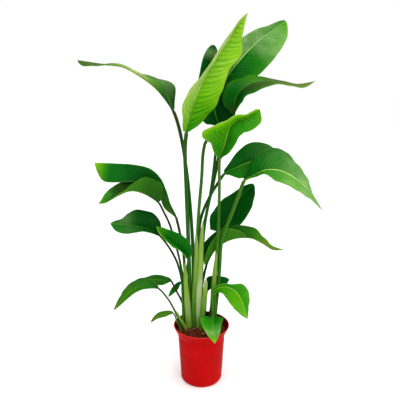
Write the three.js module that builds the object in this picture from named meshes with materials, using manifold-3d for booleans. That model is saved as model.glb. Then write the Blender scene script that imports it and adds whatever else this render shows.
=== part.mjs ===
// A young bird of paradise in its nursery pot, as separate leaves, sheaths, soil and pot.
// Millimetres, +Z up. The origin is the centre of the pot's underside and the front faces -Y.
import * as THREE from "three";
import { mergeVertices } from "three/addons/utils/BufferGeometryUtils.js";
import Module from "manifold-3d";

const wasm = await Module();
wasm.setup();

// Pot: a thin tapered wall, one raised step below the rim and a flared rim.
const POT_HEIGHT = 211;
const RIM_RADIUS = 100;
const FOOT_RADIUS = 74;
const SHOULDER_RADIUS = 84;
const SHOULDER_HEIGHT = 176;
const WALL = 3;
const FOOT_BEVEL = 8;
const STEP_TOP = 158;
const STEP_BAND = 4;
const STEP_BLEND = 2;
const STEP_OUT = 0.4;
const RIM_LIP = 4;
const RIM_ROUND = 1;
const POT_SIDES = 48;

// Soil fills the pot to a little under the rim; every stem stands in a blind hole of its own.
const GAP = 0.3;
const SOIL_TOP = 190;
const STEM_FOOT = 174;
const STEM_COLLAR = 192;

// Leaves: blade thickness at its middle and edge, the midrib's height above and below the blade as
// shares of the stem's radius, and how far each half of a blade bends between its inner and outer
// strip, in degrees. A blade has two full ripples from base to tip, weaker on the inner strip.
const BLADE = 1.6;
const EDGE = 1.2;
const RIB_RISE = 0.35;
const RIB_DROP = 0.8;
const RIB_FADE = 1.3;
const HALF_BEND = 8;
const RIPPLES = 2;
const INNER_RIPPLE = 0.25;
const RING_POINTS = 10;
const PETIOLE_RINGS = 6;
const PETIOLE_END = 0.985;
const BLADE_STATIONS = [0, 0.08, 0.17, 0.26, 0.35, 0.44, 0.53, 0.62, 0.71, 0.8, 0.88, 0.94, 0.98];
const SMALL_STATIONS = [0, 0.12, 0.28, 0.44, 0.6, 0.76, 0.9, 0.97];
const TIP_START = 0.86;
const TIP_POWER = 2.2;
const CURVE_STEPS = 24;
const LOOK_AHEAD = 0.01;

// Sheaths: open gutters that wrap the front of a group of stems. They thin out towards the tip and
// bend back by the inner and then the outer angle, in degrees.
const SHEATH = 2;
const SHEATH_THINNING = 0.4;
const SHEATH_EDGE = 0.7;
const SHEATH_BENDS = [12.5, 40];
const SHEATH_STATIONS = [0, 0.1, 0.25, 0.45, 0.65, 0.82, 0.94, 0.99];

const GREEN = "#1f6b26";
const YOUNG_GREEN = "#7cbe1e";
const SHEATH_GREEN = "#9aae68";
const POT_RED = "#c81418";
const SOIL_BROWN = "#43261a";

// Each leaf: where its stem stands in the soil, the stem's radius at the soil and at the blade,
// points along the petiole and the midrib, half widths left and right at even steps from base to
// tip, the way the upper face looks, and how far each half folds up from flat, in degrees.
const LEAVES = [
  {
    name: "leaf_far_left",
    root: [-26, 25],
    stem: [7, 6],
    petiole: [[-28, 26, 350], [-31, 24, 520], [-43, 24, 699], [-56, 24, 809], [-75, 26, 912]],
    midrib: [[-94, 28, 967], [-120, 30, 1005], [-152, 34, 1040], [-201, 38, 1075],
      [-259, 40, 1104], [-329, 36, 1111], [-401, 30, 1124]],
    left: [8, 60, 72, 64, 50, 42, 26],
    right: [8, 60, 72, 64, 50, 36, 12],
    face: [[0.3, -0.1, 1], [0.3, 0, 1], [0.1, 0, 1], [0, 0, 1]],
    foldLeft: [20, 30, 10, 4, 2, -12, -45],
    foldRight: [20, 48, 18, 2, 4, 4, 4],
    wave: 1,
  },
  {
    name: "leaf_tall_front",
    young: true,
    root: [-40, 33],
    stem: [7.5, 6.5],
    petiole: [[-42, 31, 350], [-46, 18, 522], [-52, 2, 737], [-54, -14, 840]],
    midrib: [[-48, -21, 900], [-40, -26, 933], [-32, -34, 974], [-17, -40, 1014], [10, -44, 1070],
      [41, -40, 1127], [81, -26, 1189], [145, 0, 1263]],
    left: [14, 40, 64, 70, 66, 61, 42, 10],
    right: [8, 56, 74, 70, 60, 68, 31, 6],
    face: [[0.57, -0.82, 0.15]],
    foldLeft: [5, 17, 38, 57, 67, 73, 69, 60],
    foldRight: [30, 18, 14, 10],
    wave: 1.5,
  },
  {
    name: "leaf_tall_back",
    root: [-22, 50],
    stem: [6, 5],
    petiole: [[-13, 54, 360], [6, 50, 542], [34, 60, 692], [50, 70, 831], [60, 78, 966]],
    midrib: [[76, 82, 1052], [96, 86, 1088], [129, 92, 1130], [163, 98, 1166],
      [196, 106, 1197], [237, 116, 1226], [285, 128, 1261]],
    left: [20, 56, 60, 46, 34, 20, 12],
    right: [20, 66, 78, 88, 86, 62, 26],
    face: [[0.1, -0.9, 0.3], [0.1, -0.8, 0.5]],
    foldLeft: [30, 20],
    foldRight: [30, 16, 6],
    wave: 2,
  },
  {
    name: "leaf_tall_rear",
    root: [-12, 25],
    stem: [6.2, 5.5],
    petiole: [[-12, 26, 380], [-13, 30, 555], [0, 38, 728], [14, 46, 861]],
    midrib: [[55, 50, 914], [48, 50, 950], [35, 50, 1005], [28, 48, 1063], [29, 44, 1119], [38, 40, 1174]],
    left: [30, 56, 56, 46, 34, 26, 16],
    right: [24, 56, 54, 46, 36, 28, 18],
    face: [[-0.1, -1, 0.2], [-0.1, -1, 0.3]],
    foldLeft: [30, 14, 8],
    foldRight: [30, 14, 8],
    wave: 1.5,
  },
  {
    name: "leaf_twisted_right",
    root: [0, 24],
    stem: [6, 5],
    petiole: [[9, 28, 555], [42, 16, 732], [67, 2, 854]],
    midrib: [[104, -12, 955], [107, -16, 996], [122, -18, 1026], [152, -18, 1048],
      [204, -14, 1057], [261, -8, 1053], [314, -2, 1045], [366, 4, 1058]],
    left: [8, 60, 74, 52, 46, 34, 10],
    right: [8, 40, 56, 46, 42, 34, 10],
    face: [[-0.6, -0.7, 0.4], [-0.4, -0.4, 0.8], [0, 0, 1], [0, 0, 1]],
    foldLeft: [30, 10, 0, 6, 6, 7, 4],
    foldRight: [30, 0, -18, -4, -3, -10, -14],
    wave: 2,
  },
  {
    name: "leaf_scoop",
    young: true,
    root: [34, 52],
    stem: [6, 5],
    petiole: [[39, 52, 279], [57, 22, 513], [60, -6, 702]],
    midrib: [[60, -26, 818], [72, -38, 848], [79, -48, 881], [89, -54, 916],
      [108, -50, 934], [144, -30, 944], [189, 0, 970]],
    left: [14, 66, 82, 40, 26, 22, 10],
    right: [14, 38, 46, 48, 46, 40, 30],
    face: [[-0.1, -0.9, 0.4], [-0.1, -0.9, 0.3], [0, -1, 0.2]],
    foldLeft: [10, 0, 25, 75, 78, 76, 60],
    foldRight: [50, 48, 35, 10, 5, 5, 5],
    wave: 1,
  },
  {
    name: "leaf_right_rear",
    root: [-7, 38],
    stem: [6, 5],
    petiole: [[-6, 38, 380], [-4, 42, 584], [28, 46, 669], [53, 46, 712]],
    midrib: [[81, 46, 753], [116, 52, 770], [168, 60, 791], [231, 68, 807], [295, 74, 803]],
    left: [8, 30, 52, 66, 60, 36, 12],
    right: [8, 52, 58, 48, 40, 30, 12],
    face: [[0, -0.7, 0.7], [0, -0.5, 0.85]],
    foldLeft: [30, 20],
    foldRight: [10, -5, -10],
    wave: 2,
  },
  {
    name: "leaf_right_arching",
    root: [49, 50],
    stem: [7.5, 6],
    petiole: [[64, 38, 387], [70, 28, 507], [81, 24, 553], [104, 14, 617], [128, 2, 693]],
    midrib: [[145, -6, 739], [171, -12, 753], [209, -18, 773], [258, -22, 772],
      [308, -24, 747], [356, -22, 705], [411, -16, 631]],
    left: [8, 52, 84, 61, 44, 24, 6],
    right: [6, 30, 66, 66, 56, 34, 8],
    face: [[0.1, -0.55, 0.8], [0.2, -0.5, 0.85], [0.4, -0.4, 0.8]],
    foldLeft: [40, 30, 25, 15, 5, -20, -20],
    foldRight: [40, 30, 5, 5, 5, 10, 10],
    wave: 1.5,
  },
  {
    name: "leaf_left_arching",
    root: [-53, 28],
    stem: [6, 5],
    petiole: [[-65, 30, 488], [-79, 28, 562]],
    midrib: [[-88, 22, 604], [-108, 14, 652], [-120, 6, 699], [-139, -2, 745],
      [-171, -8, 776], [-222, -12, 790], [-288, -14, 795], [-354, -12, 798]],
    left: [6, 26, 26, 36, 66, 70, 70],
    right: [6, 22, 26, 34, 50, 50, 24],
    face: [[0.85, -0.2, 0.45], [0.85, -0.2, 0.45], [0.3, -0.4, 0.85], [0, -0.4, 0.9], [0, -0.4, 0.9]],
    foldLeft: [-30, -60, -60, -45, -25, -30, -30],
    foldRight: [-30, -70, -70, -60, -50, -45, -45],
    wave: 1,
  },
  {
    name: "leaf_left_lobe",
    root: [-62, 38],
    stem: [5, 4],
    petiole: [[-66, 44, 362], [-105, 24, 560], [-127, -20, 634]],
    midrib: [[-141, -42, 670], [-162, -48, 688], [-187, -50, 702], [-216, -48, 710],
      [-243, -44, 707], [-274, -42, 692], [-308, -38, 673], [-345, -34, 664]],
    left: [10, 60, 58, 24, 6, 10, 12, 4],
    right: [6, 24, 30, 34, 36, 34, 28, 6],
    face: [[-0.2, -0.3, 0.95], [-0.2, -0.4, 0.9]],
    foldLeft: [95, 100, 100, 92, 70, 40, 20, 5],
    foldRight: [30, 30, 35, 45, 55, 60, 50, 30],
    wave: 1,
  },
  {
    name: "leaf_left_mid",
    root: [-66, 20],
    stem: [5, 3.5],
    petiole: [[-68, 20, 320], [-70, 14, 372], [-86, 6, 445], [-109, 2, 494]],
    midrib: [[-143, -4, 543], [-176, -10, 566], [-219, -16, 582], [-265, -20, 587], [-309, -22, 593]],
    left: [6, 30, 40, 46, 46, 34, 12],
    right: [6, 46, 60, 58, 44, 20, 10],
    face: [[0, -0.7, 0.7], [0, -0.6, 0.8]],
    foldLeft: [55, 45, 15, 0],
    foldRight: [30, 25, 10],
    wave: 1.5,
  },
  {
    name: "leaf_centre_left",
    root: [-44, 17],
    stem: [5, 4],
    petiole: [[-52, 16, 330], [-54, 18, 405]],
    midrib: [[-47, -2, 459], [-74, -12, 499], [-104, -20, 527], [-130, -26, 557], [-153, -30, 586]],
    left: [6, 34, 44, 44, 34, 20, 8],
    right: [6, 34, 42, 42, 34, 20, 8],
    face: [[0.2, -0.8, 0.5], [0, -0.8, 0.6]],
    foldLeft: [60, 66, 60, 45],
    foldRight: [35, 24, 14],
    wave: 1,
  },
  {
    name: "leaf_right_dark",
    root: [30, 65],
    stem: [5.5, 4.5],
    petiole: [[48, 92, 302], [62, 120, 451]],
    midrib: [[63, 128, 519], [99, 132, 574], [124, 130, 620], [153, 128, 662],
      [192, 126, 702]],
    left: [34, 61, 60, 52, 34, 22, 12],
    right: [12, 44, 60, 63, 60, 44, 20],
    face: [[-0.1, -0.9, 0.3]],
    foldLeft: [30, 15, 10],
    foldRight: [30, 15, 10],
    wave: 1.5,
  },
  {
    name: "leaf_right_low",
    root: [4, 52],
    stem: [5, 4.5],
    petiole: [[0, 52, 319], [8, 50, 367]],
    midrib: [[19, 50, 418], [36, 48, 457], [61, 48, 488], [91, 48, 508], [130, 46, 520],
      [173, 42, 521], [215, 36, 508], [254, 30, 487], [292, 24, 484]],
    left: [8, 42, 48, 50, 46, 42, 24, 12, 5],
    right: [12, 24, 34, 54, 36, 7, 8, 8, 8],
    face: [[-0.5, -0.4, 0.8], [-0.2, -0.35, 0.9], [0, -0.4, 0.9], [0.2, -0.5, 0.8]],
    foldLeft: [50, 50, 50, 48, 40, 30, 10, 0, 0],
    foldRight: [80, 90, 95, 95, 90, 20, 10, 0, 0],
    wave: 2,
  },
  {
    name: "leaf_low_left_long",
    small: true,
    root: [-72, 8],
    stem: [4, 3],
    petiole: [[-92, 8, 248], [-119, 2, 306]],
    midrib: [[-153, -8, 353], [-180, -14, 365], [-211, -20, 366], [-242, -26, 352],
      [-273, -32, 323], [-309, -38, 280]],
    left: [5, 14, 17, 17, 15, 10, 4],
    right: [5, 24, 30, 27, 20, 12, 4],
    face: [[-0.2, -0.6, 0.8], [-0.5, -0.6, 0.6]],
    foldLeft: [10, 0, 0],
    foldRight: [10, 10],
    wave: 1,
  },
  {
    name: "leaf_low_left_short",
    small: true,
    root: [-54, 47],
    stem: [4.5, 3.5],
    petiole: [[-71, 54, 269], [-94, 52, 318]],
    midrib: [[-111, 48, 356], [-143, 44, 361], [-182, 36, 367], [-221, 28, 371]],
    left: [5, 16, 22, 22, 16, 10, 4],
    right: [5, 14, 19, 19, 14, 8, 4],
    face: [[0, -0.6, 0.8]],
    foldLeft: [0],
    foldRight: [10],
    wave: 1,
  },
  {
    name: "leaf_low_rear",
    small: true,
    root: [-42, 54],
    stem: [3.5, 2.5],
    petiole: [[-58, 66, 272], [-62, 72, 313]],
    midrib: [[-75, 74, 338], [-94, 72, 318], [-125, 66, 282]],
    left: [4, 10, 13, 12, 10, 6, 2],
    right: [4, 10, 13, 12, 10, 6, 2],
    face: [[-0.4, -0.7, 0.6]],
    foldLeft: [15],
    foldRight: [15],
    wave: 0,
  },
  {
    name: "leaf_small_left",
    small: true,
    root: [-73, -14],
    stem: [3.5, 2.5],
    petiole: [[-87, -16, 229]],
    midrib: [[-101, -20, 263], [-129, -26, 261], [-157, -30, 253], [-181, -34, 232]],
    left: [4, 9, 11, 11, 9, 6, 2],
    right: [4, 10, 13, 13, 10, 6, 2],
    face: [[-0.2, -0.6, 0.8]],
    foldLeft: [15],
    foldRight: [15],
    wave: 0,
  },
  {
    name: "leaf_low_right",
    small: true,
    young: true,
    root: [44, 28],
    stem: [5, 4],
    petiole: [[39, 22, 277]],
    midrib: [[41, 15, 325], [63, 10, 346], [93, 6, 350], [123, 0, 334], [143, -6, 302],
      [154, -12, 271], [165, -18, 236]],
    left: [6, 12, 14, 40, 36, 20, 8],
    right: [8, 22, 48, 60, 54, 32, 8],
    face: [[0.1, -0.7, 0.7], [0.4, -0.6, 0.6], [0.6, -0.6, 0.3]],
    foldLeft: [50, 45, 25, 8, 0],
    foldRight: [20, 10, 5],
    wave: 1.5,
  },
  {
    name: "leaf_over_rim",
    small: true,
    root: [26, 22],
    stem: [4.5, 3.5],
    petiole: [[38, -16, 250]],
    midrib: [[40, -50, 260], [39, -88, 258], [42, -108, 243], [45, -122, 203]],
    left: [20, 36, 32, 27, 20, 11, 3],
    right: [32, 46, 42, 36, 27, 15, 3],
    face: [[0, -0.4, 0.9], [0, -0.6, 0.8], [0, -0.9, 0.4]],
    foldLeft: [10],
    foldRight: [10],
    wave: 1,
  },
  {
    name: "leaf_low_right_rear",
    small: true,
    root: [14, 68],
    stem: [4, 3],
    petiole: [[17, 70, 258]],
    midrib: [[23, 72, 309], [36, 72, 333], [56, 74, 347], [80, 76, 351], [106, 78, 349]],
    left: [6, 24, 28, 20, 12, 8, 4],
    right: [6, 12, 22, 28, 27, 23, 16],
    face: [[0, -0.8, 0.5]],
    foldLeft: [15],
    foldRight: [15],
    wave: 1,
  },
];

// Each sheath: where its front stands in the soil, points up its front line, and its half widths
// from foot to tip.
const SHEATHS = [
  {
    name: "sheath_centre_short",
    root: [-25, 10],
    front: [[-26, 10, 260], [-24, 10, 318], [-19, 10, 385], [-17, 10, 460], [-19, 10, 557]],
    half: [10, 11, 12, 12, 11, 8, 3],
  },
  {
    name: "sheath_centre_tall",
    root: [-9, 2],
    front: [[-10, 3, 262], [-8, 4, 320], [-5, 4, 377], [-3, 5, 445], [0, 6, 526], [6, 6, 601]],
    half: [9, 11, 12, 11, 10, 8, 3],
  },
  {
    name: "sheath_left",
    root: [-46, 7],
    front: [[-49, 7, 260], [-55, 8, 350], [-60, 9, 445]],
    half: [13, 13, 13, 11, 9, 7, 3],
  },
  {
    name: "sheath_right",
    root: [43, 36],
    front: [[44, 32, 250], [44, 28, 330], [48, 22, 400], [54, 14, 480]],
    half: [13, 13, 12, 11, 9, 7, 3],
  },
  {
    name: "sheath_small_right",
    root: [-3, -7],
    front: [[5, -7, 250], [11, -5, 310], [17, 0, 388]],
    half: [8, 9, 9, 9, 9, 8, 4],
  },
  {
    name: "sheath_low_left",
    root: [-56, -6],
    front: [[-73, -8, 226], [-91, -8, 266]],
    half: [7, 7, 7, 6, 5, 4, 2],
  },
];

const rad = THREE.MathUtils.degToRad;

// Value of evenly spaced keys at t, eased from key to key; keys are numbers or directions.
function eased(keys, t) {
  if (keys.length === 1) return keys[0];
  const x = Math.min(Math.max(t, 0), 1) * (keys.length - 1);
  const i = Math.min(Math.floor(x), keys.length - 2);
  const w = THREE.MathUtils.smoothstep(x - i, 0, 1);
  if (Array.isArray(keys[0])) return keys[i].map((v, k) => v * (1 - w) + keys[i + 1][k] * w);
  return keys[i] * (1 - w) + keys[i + 1] * w;
}

// Half width at t: a cubic that never overshoots its keys, closed to nothing at the tip.
function widthAt(keys, t) {
  const last = keys.length - 1;
  const rise = (i) => keys[i + 1] - keys[i];
  const slope = (i) => {
    if (i === 0) return rise(0);
    if (i === last) return rise(last - 1);
    const a = rise(i - 1);
    const b = rise(i);
    return a * b <= 0 ? 0 : (2 * a * b) / (a + b);
  };
  const i = Math.min(Math.floor(t * last), last - 1);
  const u = t * last - i;
  const value =
    keys[i] * (1 + 2 * u) * (1 - u) ** 2 +
    slope(i) * u * (1 - u) ** 2 +
    keys[i + 1] * u * u * (3 - 2 * u) +
    slope(i + 1) * u * u * (u - 1);
  const past = Math.max(0, (t - TIP_START) / (1 - TIP_START));
  return value * (1 - past ** TIP_POWER);
}

// Samples a smooth line through points between two of them, ready to be walked by length.
function track(points, from, to) {
  const curve = new THREE.CatmullRomCurve3(
    points.map((p) => new THREE.Vector3(...p)),
    false,
    "centripetal",
  );
  const span = points.length - 1;
  const samples = [];
  for (let k = 0; k <= (to - from) * CURVE_STEPS; k++)
    samples.push(curve.getPoint((from + k / CURVE_STEPS) / span));
  const lengths = [0];
  for (let k = 1; k < samples.length; k++)
    lengths.push(lengths[k - 1] + samples[k].distanceTo(samples[k - 1]));
  const total = lengths.at(-1);
  const at = (t) => {
    const want = Math.min(Math.max(t, 0), 1) * total;
    let k = 1;
    while (k < lengths.length - 1 && lengths[k] < want) k++;
    const w = (want - lengths[k - 1]) / (lengths[k] - lengths[k - 1]);
    return samples[k - 1].clone().lerp(samples[k], w);
  };
  const ahead = (t) => at(t + LOOK_AHEAD).sub(at(t - LOOK_AHEAD)).normalize();
  return { at, ahead };
}

const unitAcross = (v, along) => v.clone().addScaledVector(along, -v.dot(along)).normalize();

// A round ring of points about a stem, in the order of the blade's ring.
function stemRing(centre, normal, side, radius) {
  const ring = [];
  for (let k = 0; k < RING_POINTS; k++) {
    const a = Math.PI * (1 - (2 * k + 1) / RING_POINTS);
    ring.push(
      centre.clone()
        .addScaledVector(side, radius * Math.cos(a))
        .addScaledVector(normal, radius * Math.sin(a)),
    );
  }
  return ring;
}

// A flat ring of points: the upper face from left edge to right edge, then the lower face back.
function bladeRing(centre, normal, side, half, angles, thick, rib, ripple) {
  const upper = [];
  const lower = [];
  const place = (point, out, above, below) => {
    upper.push(point.clone().addScaledVector(out, above));
    lower.push(point.clone().addScaledVector(out, -below));
  };
  const wing = (sign, width, [inner, outer]) => {
    const points = [];
    let point = centre.clone();
    for (const [angle, share] of [[inner, INNER_RIPPLE], [outer, 1]]) {
      const step = side.clone().multiplyScalar(sign * Math.cos(angle));
      step.addScaledVector(normal, Math.sin(angle));
      const out = normal.clone().multiplyScalar(Math.cos(angle));
      out.addScaledVector(side, -sign * Math.sin(angle));
      point = point.clone().addScaledVector(step, width / 2);
      points.push([point.clone().addScaledVector(out, ripple * share), out]);
    }
    return points;
  };
  const left = wing(-1, half.left, angles.left);
  const right = wing(1, half.right, angles.right);
  place(...left[1], thick.edge / 2, thick.edge / 2);
  place(...left[0], thick.middle / 2, thick.middle / 2);
  place(centre, normal, thick.middle / 2 + rib.rise, thick.middle / 2 + rib.drop);
  place(...right[0], thick.middle / 2, thick.middle / 2);
  place(...right[1], thick.edge / 2, thick.edge / 2);
  return [...upper, ...lower.reverse()];
}

// Joins rings of points into one closed skin; both faces of a blade are split alike. The foot is
// closed flat, in strips from one half of the ring to the other, and the end likewise or in a point.
function skin(rings, tip) {
  const points = rings.flat();
  const faces = [];
  const n = RING_POINTS;
  for (let i = 0; i + 1 < rings.length; i++)
    for (let k = 0; k < n; k++) {
      const a = i * n + k;
      const b = i * n + ((k + 1) % n);
      const c = b + n;
      const d = a + n;
      if (k < n / 2) faces.push(a, b, c, a, c, d);
      else faces.push(a, b, d, b, c, d);
    }
  const cap = (start, forward) => {
    for (let k = 0; k + 1 < n / 2; k++) {
      const quad = [k, k + 1, n - 2 - k, n - 1 - k].map((i) => start + i);
      const [a, b, c, d] = forward ? quad : quad.reverse();
      faces.push(a, b, c, a, c, d);
    }
  };
  const last = (rings.length - 1) * n;
  cap(0, false);
  if (tip) {
    points.push(tip);
    for (let k = 0; k < n; k++) faces.push(points.length - 1, last + k, last + ((k + 1) % n));
  } else cap(last, true);
  const geometry = new THREE.BufferGeometry().setFromPoints(points);
  geometry.setIndex(faces);
  return geometry;
}

// Rings of a leaf: the round petiole from its foot in the soil, then the folded blade.
function leafRings(leaf, grow) {
  const [x, y] = leaf.root;
  const foot = STEM_FOOT - grow;
  const points = [[x, y, foot], [x, y, STEM_COLLAR], ...leaf.petiole, ...leaf.midrib];
  const base = points.length - leaf.midrib.length;
  const blade = track(points, base, points.length - 1);
  const stalk = track(points, 1, base);
  const stations = leaf.small ? SMALL_STATIONS : BLADE_STATIONS;
  const rings = [];
  const first = blade.at(LOOK_AHEAD).sub(blade.at(0)).normalize();
  let normal = unitAcross(new THREE.Vector3(...eased(leaf.face, 0)), first);
  const [low, high] = leaf.stem;
  const stems = [];
  const up = new THREE.Vector3(0, 0, 1);
  const facing = normal.clone();
  for (let k = PETIOLE_RINGS; k >= 0; k--) {
    const t = (k / PETIOLE_RINGS) * PETIOLE_END;
    const along = k === 0 ? up : stalk.ahead(t);
    facing.copy(unitAcross(facing, along));
    const side = along.clone().cross(facing);
    stems.unshift(stemRing(stalk.at(t), facing, side, low + (high - low) * t + grow));
  }
  const across = up.clone().cross(facing);
  rings.push(stemRing(new THREE.Vector3(x, y, foot), facing, across, low + grow));
  rings.push(...stems);
  if (grow) return { rings: rings.slice(0, 3) };
  for (const t of stations) {
    const along = t === 0 ? first : blade.ahead(t);
    normal = unitAcross(new THREE.Vector3(...eased(leaf.face, t)), along);
    const side = along.clone().cross(normal);
    const foldLeft = eased(leaf.foldLeft, t);
    const foldRight = eased(leaf.foldRight, t);
    const angles = {
      left: [rad(foldLeft + HALF_BEND), rad(foldLeft - HALF_BEND)],
      right: [rad(foldRight + HALF_BEND), rad(foldRight - HALF_BEND)],
    };
    const half = { left: widthAt(leaf.left, t), right: widthAt(leaf.right, t) };
    const thin = (1 - t) ** RIB_FADE;
    const rib = { rise: high * RIB_RISE * thin, drop: high * RIB_DROP * thin };
    const ripple = leaf.wave * Math.sin(2 * RIPPLES * Math.PI * t) * Math.sin(Math.PI * t);
    rings.push(
      bladeRing(blade.at(t), normal, side, half, angles, { middle: BLADE, edge: EDGE }, rib, ripple),
    );
  }
  return { rings, tip: blade.at(1) };
}

// Rings of a sheath: a gutter whose open side faces the stems behind it.
function sheathRings(sheath, grow) {
  const [x, y] = sheath.root;
  const points = [[x, y, STEM_FOOT], [x, y, STEM_COLLAR], ...sheath.front];
  const line = track(points, 0, points.length - 1);
  const bend = SHEATH_BENDS.map(rad);
  const rings = [];
  const stations = grow ? SHEATH_STATIONS.slice(0, 3) : SHEATH_STATIONS;
  for (const t of stations) {
    const along = t === 0 ? new THREE.Vector3(0, 0, 1) : line.ahead(t);
    const normal = unitAcross(new THREE.Vector3(0, 1, 0), along);
    const side = along.clone().cross(normal);
    const width = widthAt(sheath.half, t) + grow;
    const thick = SHEATH * (1 - SHEATH_THINNING * t);
    const centre = line.at(t);
    if (t === 0) centre.z -= grow;
    rings.push(
      bladeRing(
        centre, normal, side, { left: width, right: width }, { left: bend, right: bend },
        { middle: thick + 2 * grow, edge: thick * SHEATH_EDGE + 2 * grow }, { rise: 0, drop: 0 }, 0,
      ),
    );
  }
  return { rings, tip: grow ? undefined : line.at(1) };
}

function toSolid(geometry) {
  const bare = new THREE.BufferGeometry();
  bare.setAttribute("position", geometry.getAttribute("position"));
  if (geometry.index) bare.setIndex(geometry.index);
  const merged = mergeVertices(bare, 1e-4);
  return new wasm.Manifold(
    new wasm.Mesh({
      numProp: 3,
      vertProperties: Float32Array.from(merged.attributes.position.array),
      triVerts: Uint32Array.from(merged.index.array),
    }),
  );
}

function toGeometry(solid) {
  const mesh = solid.getMesh();
  const geometry = new THREE.BufferGeometry();
  geometry.setAttribute("position", new THREE.BufferAttribute(mesh.vertProperties, 3));
  geometry.setIndex(new THREE.BufferAttribute(mesh.triVerts, 1));
  return geometry;
}

// Turns a half outline, from the axis round and back to the axis, about +Z.
function spun(outline) {
  const profile = outline.map(([r, z]) => new THREE.Vector2(r, z));
  const geometry = new THREE.LatheGeometry(profile, POT_SIDES);
  return geometry.rotateX(Math.PI / 2);
}

// Outer radius at a height: of the wall between foot and shoulder, and of the flare above it.
const wallAt = (z) => THREE.MathUtils.mapLinear(z, 0, SHOULDER_HEIGHT, FOOT_RADIUS, SHOULDER_RADIUS);
const flareAt = (z) =>
  THREE.MathUtils.mapLinear(z, SHOULDER_HEIGHT, POT_HEIGHT, SHOULDER_RADIUS, RIM_RADIUS);

const potOutline = [
  [0, 0],
  [FOOT_RADIUS - FOOT_BEVEL, 0],
  [FOOT_RADIUS - FOOT_BEVEL / 3, FOOT_BEVEL / 3],
  [wallAt(FOOT_BEVEL), FOOT_BEVEL],
  [wallAt(STEP_TOP - STEP_BAND - STEP_BLEND), STEP_TOP - STEP_BAND - STEP_BLEND],
  [wallAt(STEP_TOP - STEP_BAND) + STEP_OUT, STEP_TOP - STEP_BAND],
  [wallAt(STEP_TOP) + STEP_OUT, STEP_TOP],
  [wallAt(STEP_TOP + STEP_BLEND), STEP_TOP + STEP_BLEND],
  [SHOULDER_RADIUS, SHOULDER_HEIGHT],
  [RIM_RADIUS - RIM_ROUND, POT_HEIGHT - RIM_LIP],
  [RIM_RADIUS, POT_HEIGHT - RIM_LIP / 2],
  [RIM_RADIUS - RIM_ROUND, POT_HEIGHT],
  [RIM_RADIUS - WALL, POT_HEIGHT],
  [flareAt(SOIL_TOP) - WALL, SOIL_TOP],
  [SHOULDER_RADIUS - WALL, SHOULDER_HEIGHT],
  [FOOT_RADIUS - WALL, WALL + FOOT_BEVEL],
  [FOOT_RADIUS - WALL - FOOT_BEVEL, WALL],
  [0, WALL],
];

const soilOutline = [
  [0, WALL + GAP],
  [FOOT_RADIUS - WALL - FOOT_BEVEL - 2 * GAP, WALL + GAP],
  [FOOT_RADIUS - WALL - 2 * GAP, WALL + FOOT_BEVEL + GAP],
  [SHOULDER_RADIUS - WALL - 2 * GAP, SHOULDER_HEIGHT],
  [flareAt(SOIL_TOP) - WALL - 2 * GAP, SOIL_TOP],
  [0, SOIL_TOP],
];

const paint = (colour) => new THREE.MeshStandardMaterial({ color: colour, side: THREE.DoubleSide });
const group = new THREE.Group();
group.name = "potted_bird_of_paradise";

function add(name, geometry, colour) {
  geometry.computeVertexNormals();
  const mesh = new THREE.Mesh(geometry, paint(colour));
  mesh.name = name;
  group.add(mesh);
}

add("pot", spun(potOutline), POT_RED);

let soil = toSolid(spun(soilOutline));
for (const leaf of LEAVES) {
  const { rings } = leafRings(leaf, GAP);
  soil = soil.subtract(toSolid(skin(rings)));
}
for (const sheath of SHEATHS) {
  const { rings } = sheathRings(sheath, GAP);
  soil = soil.subtract(toSolid(skin(rings)));
}
add("soil", toGeometry(soil), SOIL_BROWN);

for (const leaf of LEAVES) {
  const { rings, tip } = leafRings(leaf, 0);
  add(leaf.name, skin(rings, tip), leaf.young ? YOUNG_GREEN : GREEN);
}
for (const sheath of SHEATHS) {
  const { rings, tip } = sheathRings(sheath, 0);
  add(sheath.name, skin(rings, tip), SHEATH_GREEN);
}

export default group;
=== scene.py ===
# %% [markdown]
# # A potted bird of paradise
# This lesson dresses a finished CAD model of a house plant: a young bird of paradise, about 1.26 m
# tall, in the red plastic nursery pot that it was sold in. The CAD model has every leaf, sheath, the
# soil and the pot at their real size, but with few faces. Here each one is replaced by a finer piece
# of the same form: blades with veins and wavy margins, grooved stems, crumbly soil and a pot with
# rounded lips. Everything is in metres, +Z up, with the origin under the middle of the pot.

# %% Load the CAD model
import math
import random

import bmesh
import bpy
from mathutils import Matrix, Vector, noise


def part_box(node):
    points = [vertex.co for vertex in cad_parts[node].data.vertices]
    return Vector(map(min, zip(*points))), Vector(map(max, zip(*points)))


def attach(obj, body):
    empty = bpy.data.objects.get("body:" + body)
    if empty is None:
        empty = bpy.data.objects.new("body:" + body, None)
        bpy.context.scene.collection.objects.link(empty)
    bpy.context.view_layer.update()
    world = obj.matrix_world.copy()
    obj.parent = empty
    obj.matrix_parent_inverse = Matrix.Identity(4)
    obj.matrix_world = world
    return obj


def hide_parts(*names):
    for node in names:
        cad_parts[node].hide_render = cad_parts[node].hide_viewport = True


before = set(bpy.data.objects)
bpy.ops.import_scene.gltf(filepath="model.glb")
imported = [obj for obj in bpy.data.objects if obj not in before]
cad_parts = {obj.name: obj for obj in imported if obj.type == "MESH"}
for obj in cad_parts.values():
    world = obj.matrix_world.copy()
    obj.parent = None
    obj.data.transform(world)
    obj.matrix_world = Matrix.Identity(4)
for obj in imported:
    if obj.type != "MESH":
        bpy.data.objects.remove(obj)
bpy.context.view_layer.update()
MM = 0.001
print("CAD nodes:", len(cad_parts))

# %% [markdown]
# ## Colours and materials
# Colours are easiest to pick as the sRGB hex values of any paint program, but Blender mixes light in
# linear values, so one function turns one into the other. A second small function adds a shader node
# with its settings and its links, which keeps every material below short enough to read.

# %% Colour and node helpers
def linear(hex_colour):
    """An sRGB hex colour such as "#b40709" as linear red, green, blue and alpha."""
    channels = [int(hex_colour[i : i + 2], 16) / 255 for i in (1, 3, 5)]
    return [c / 12.92 if c <= 0.04045 else ((c + 0.055) / 1.055) ** 2.4 for c in channels] + [1.0]


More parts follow.
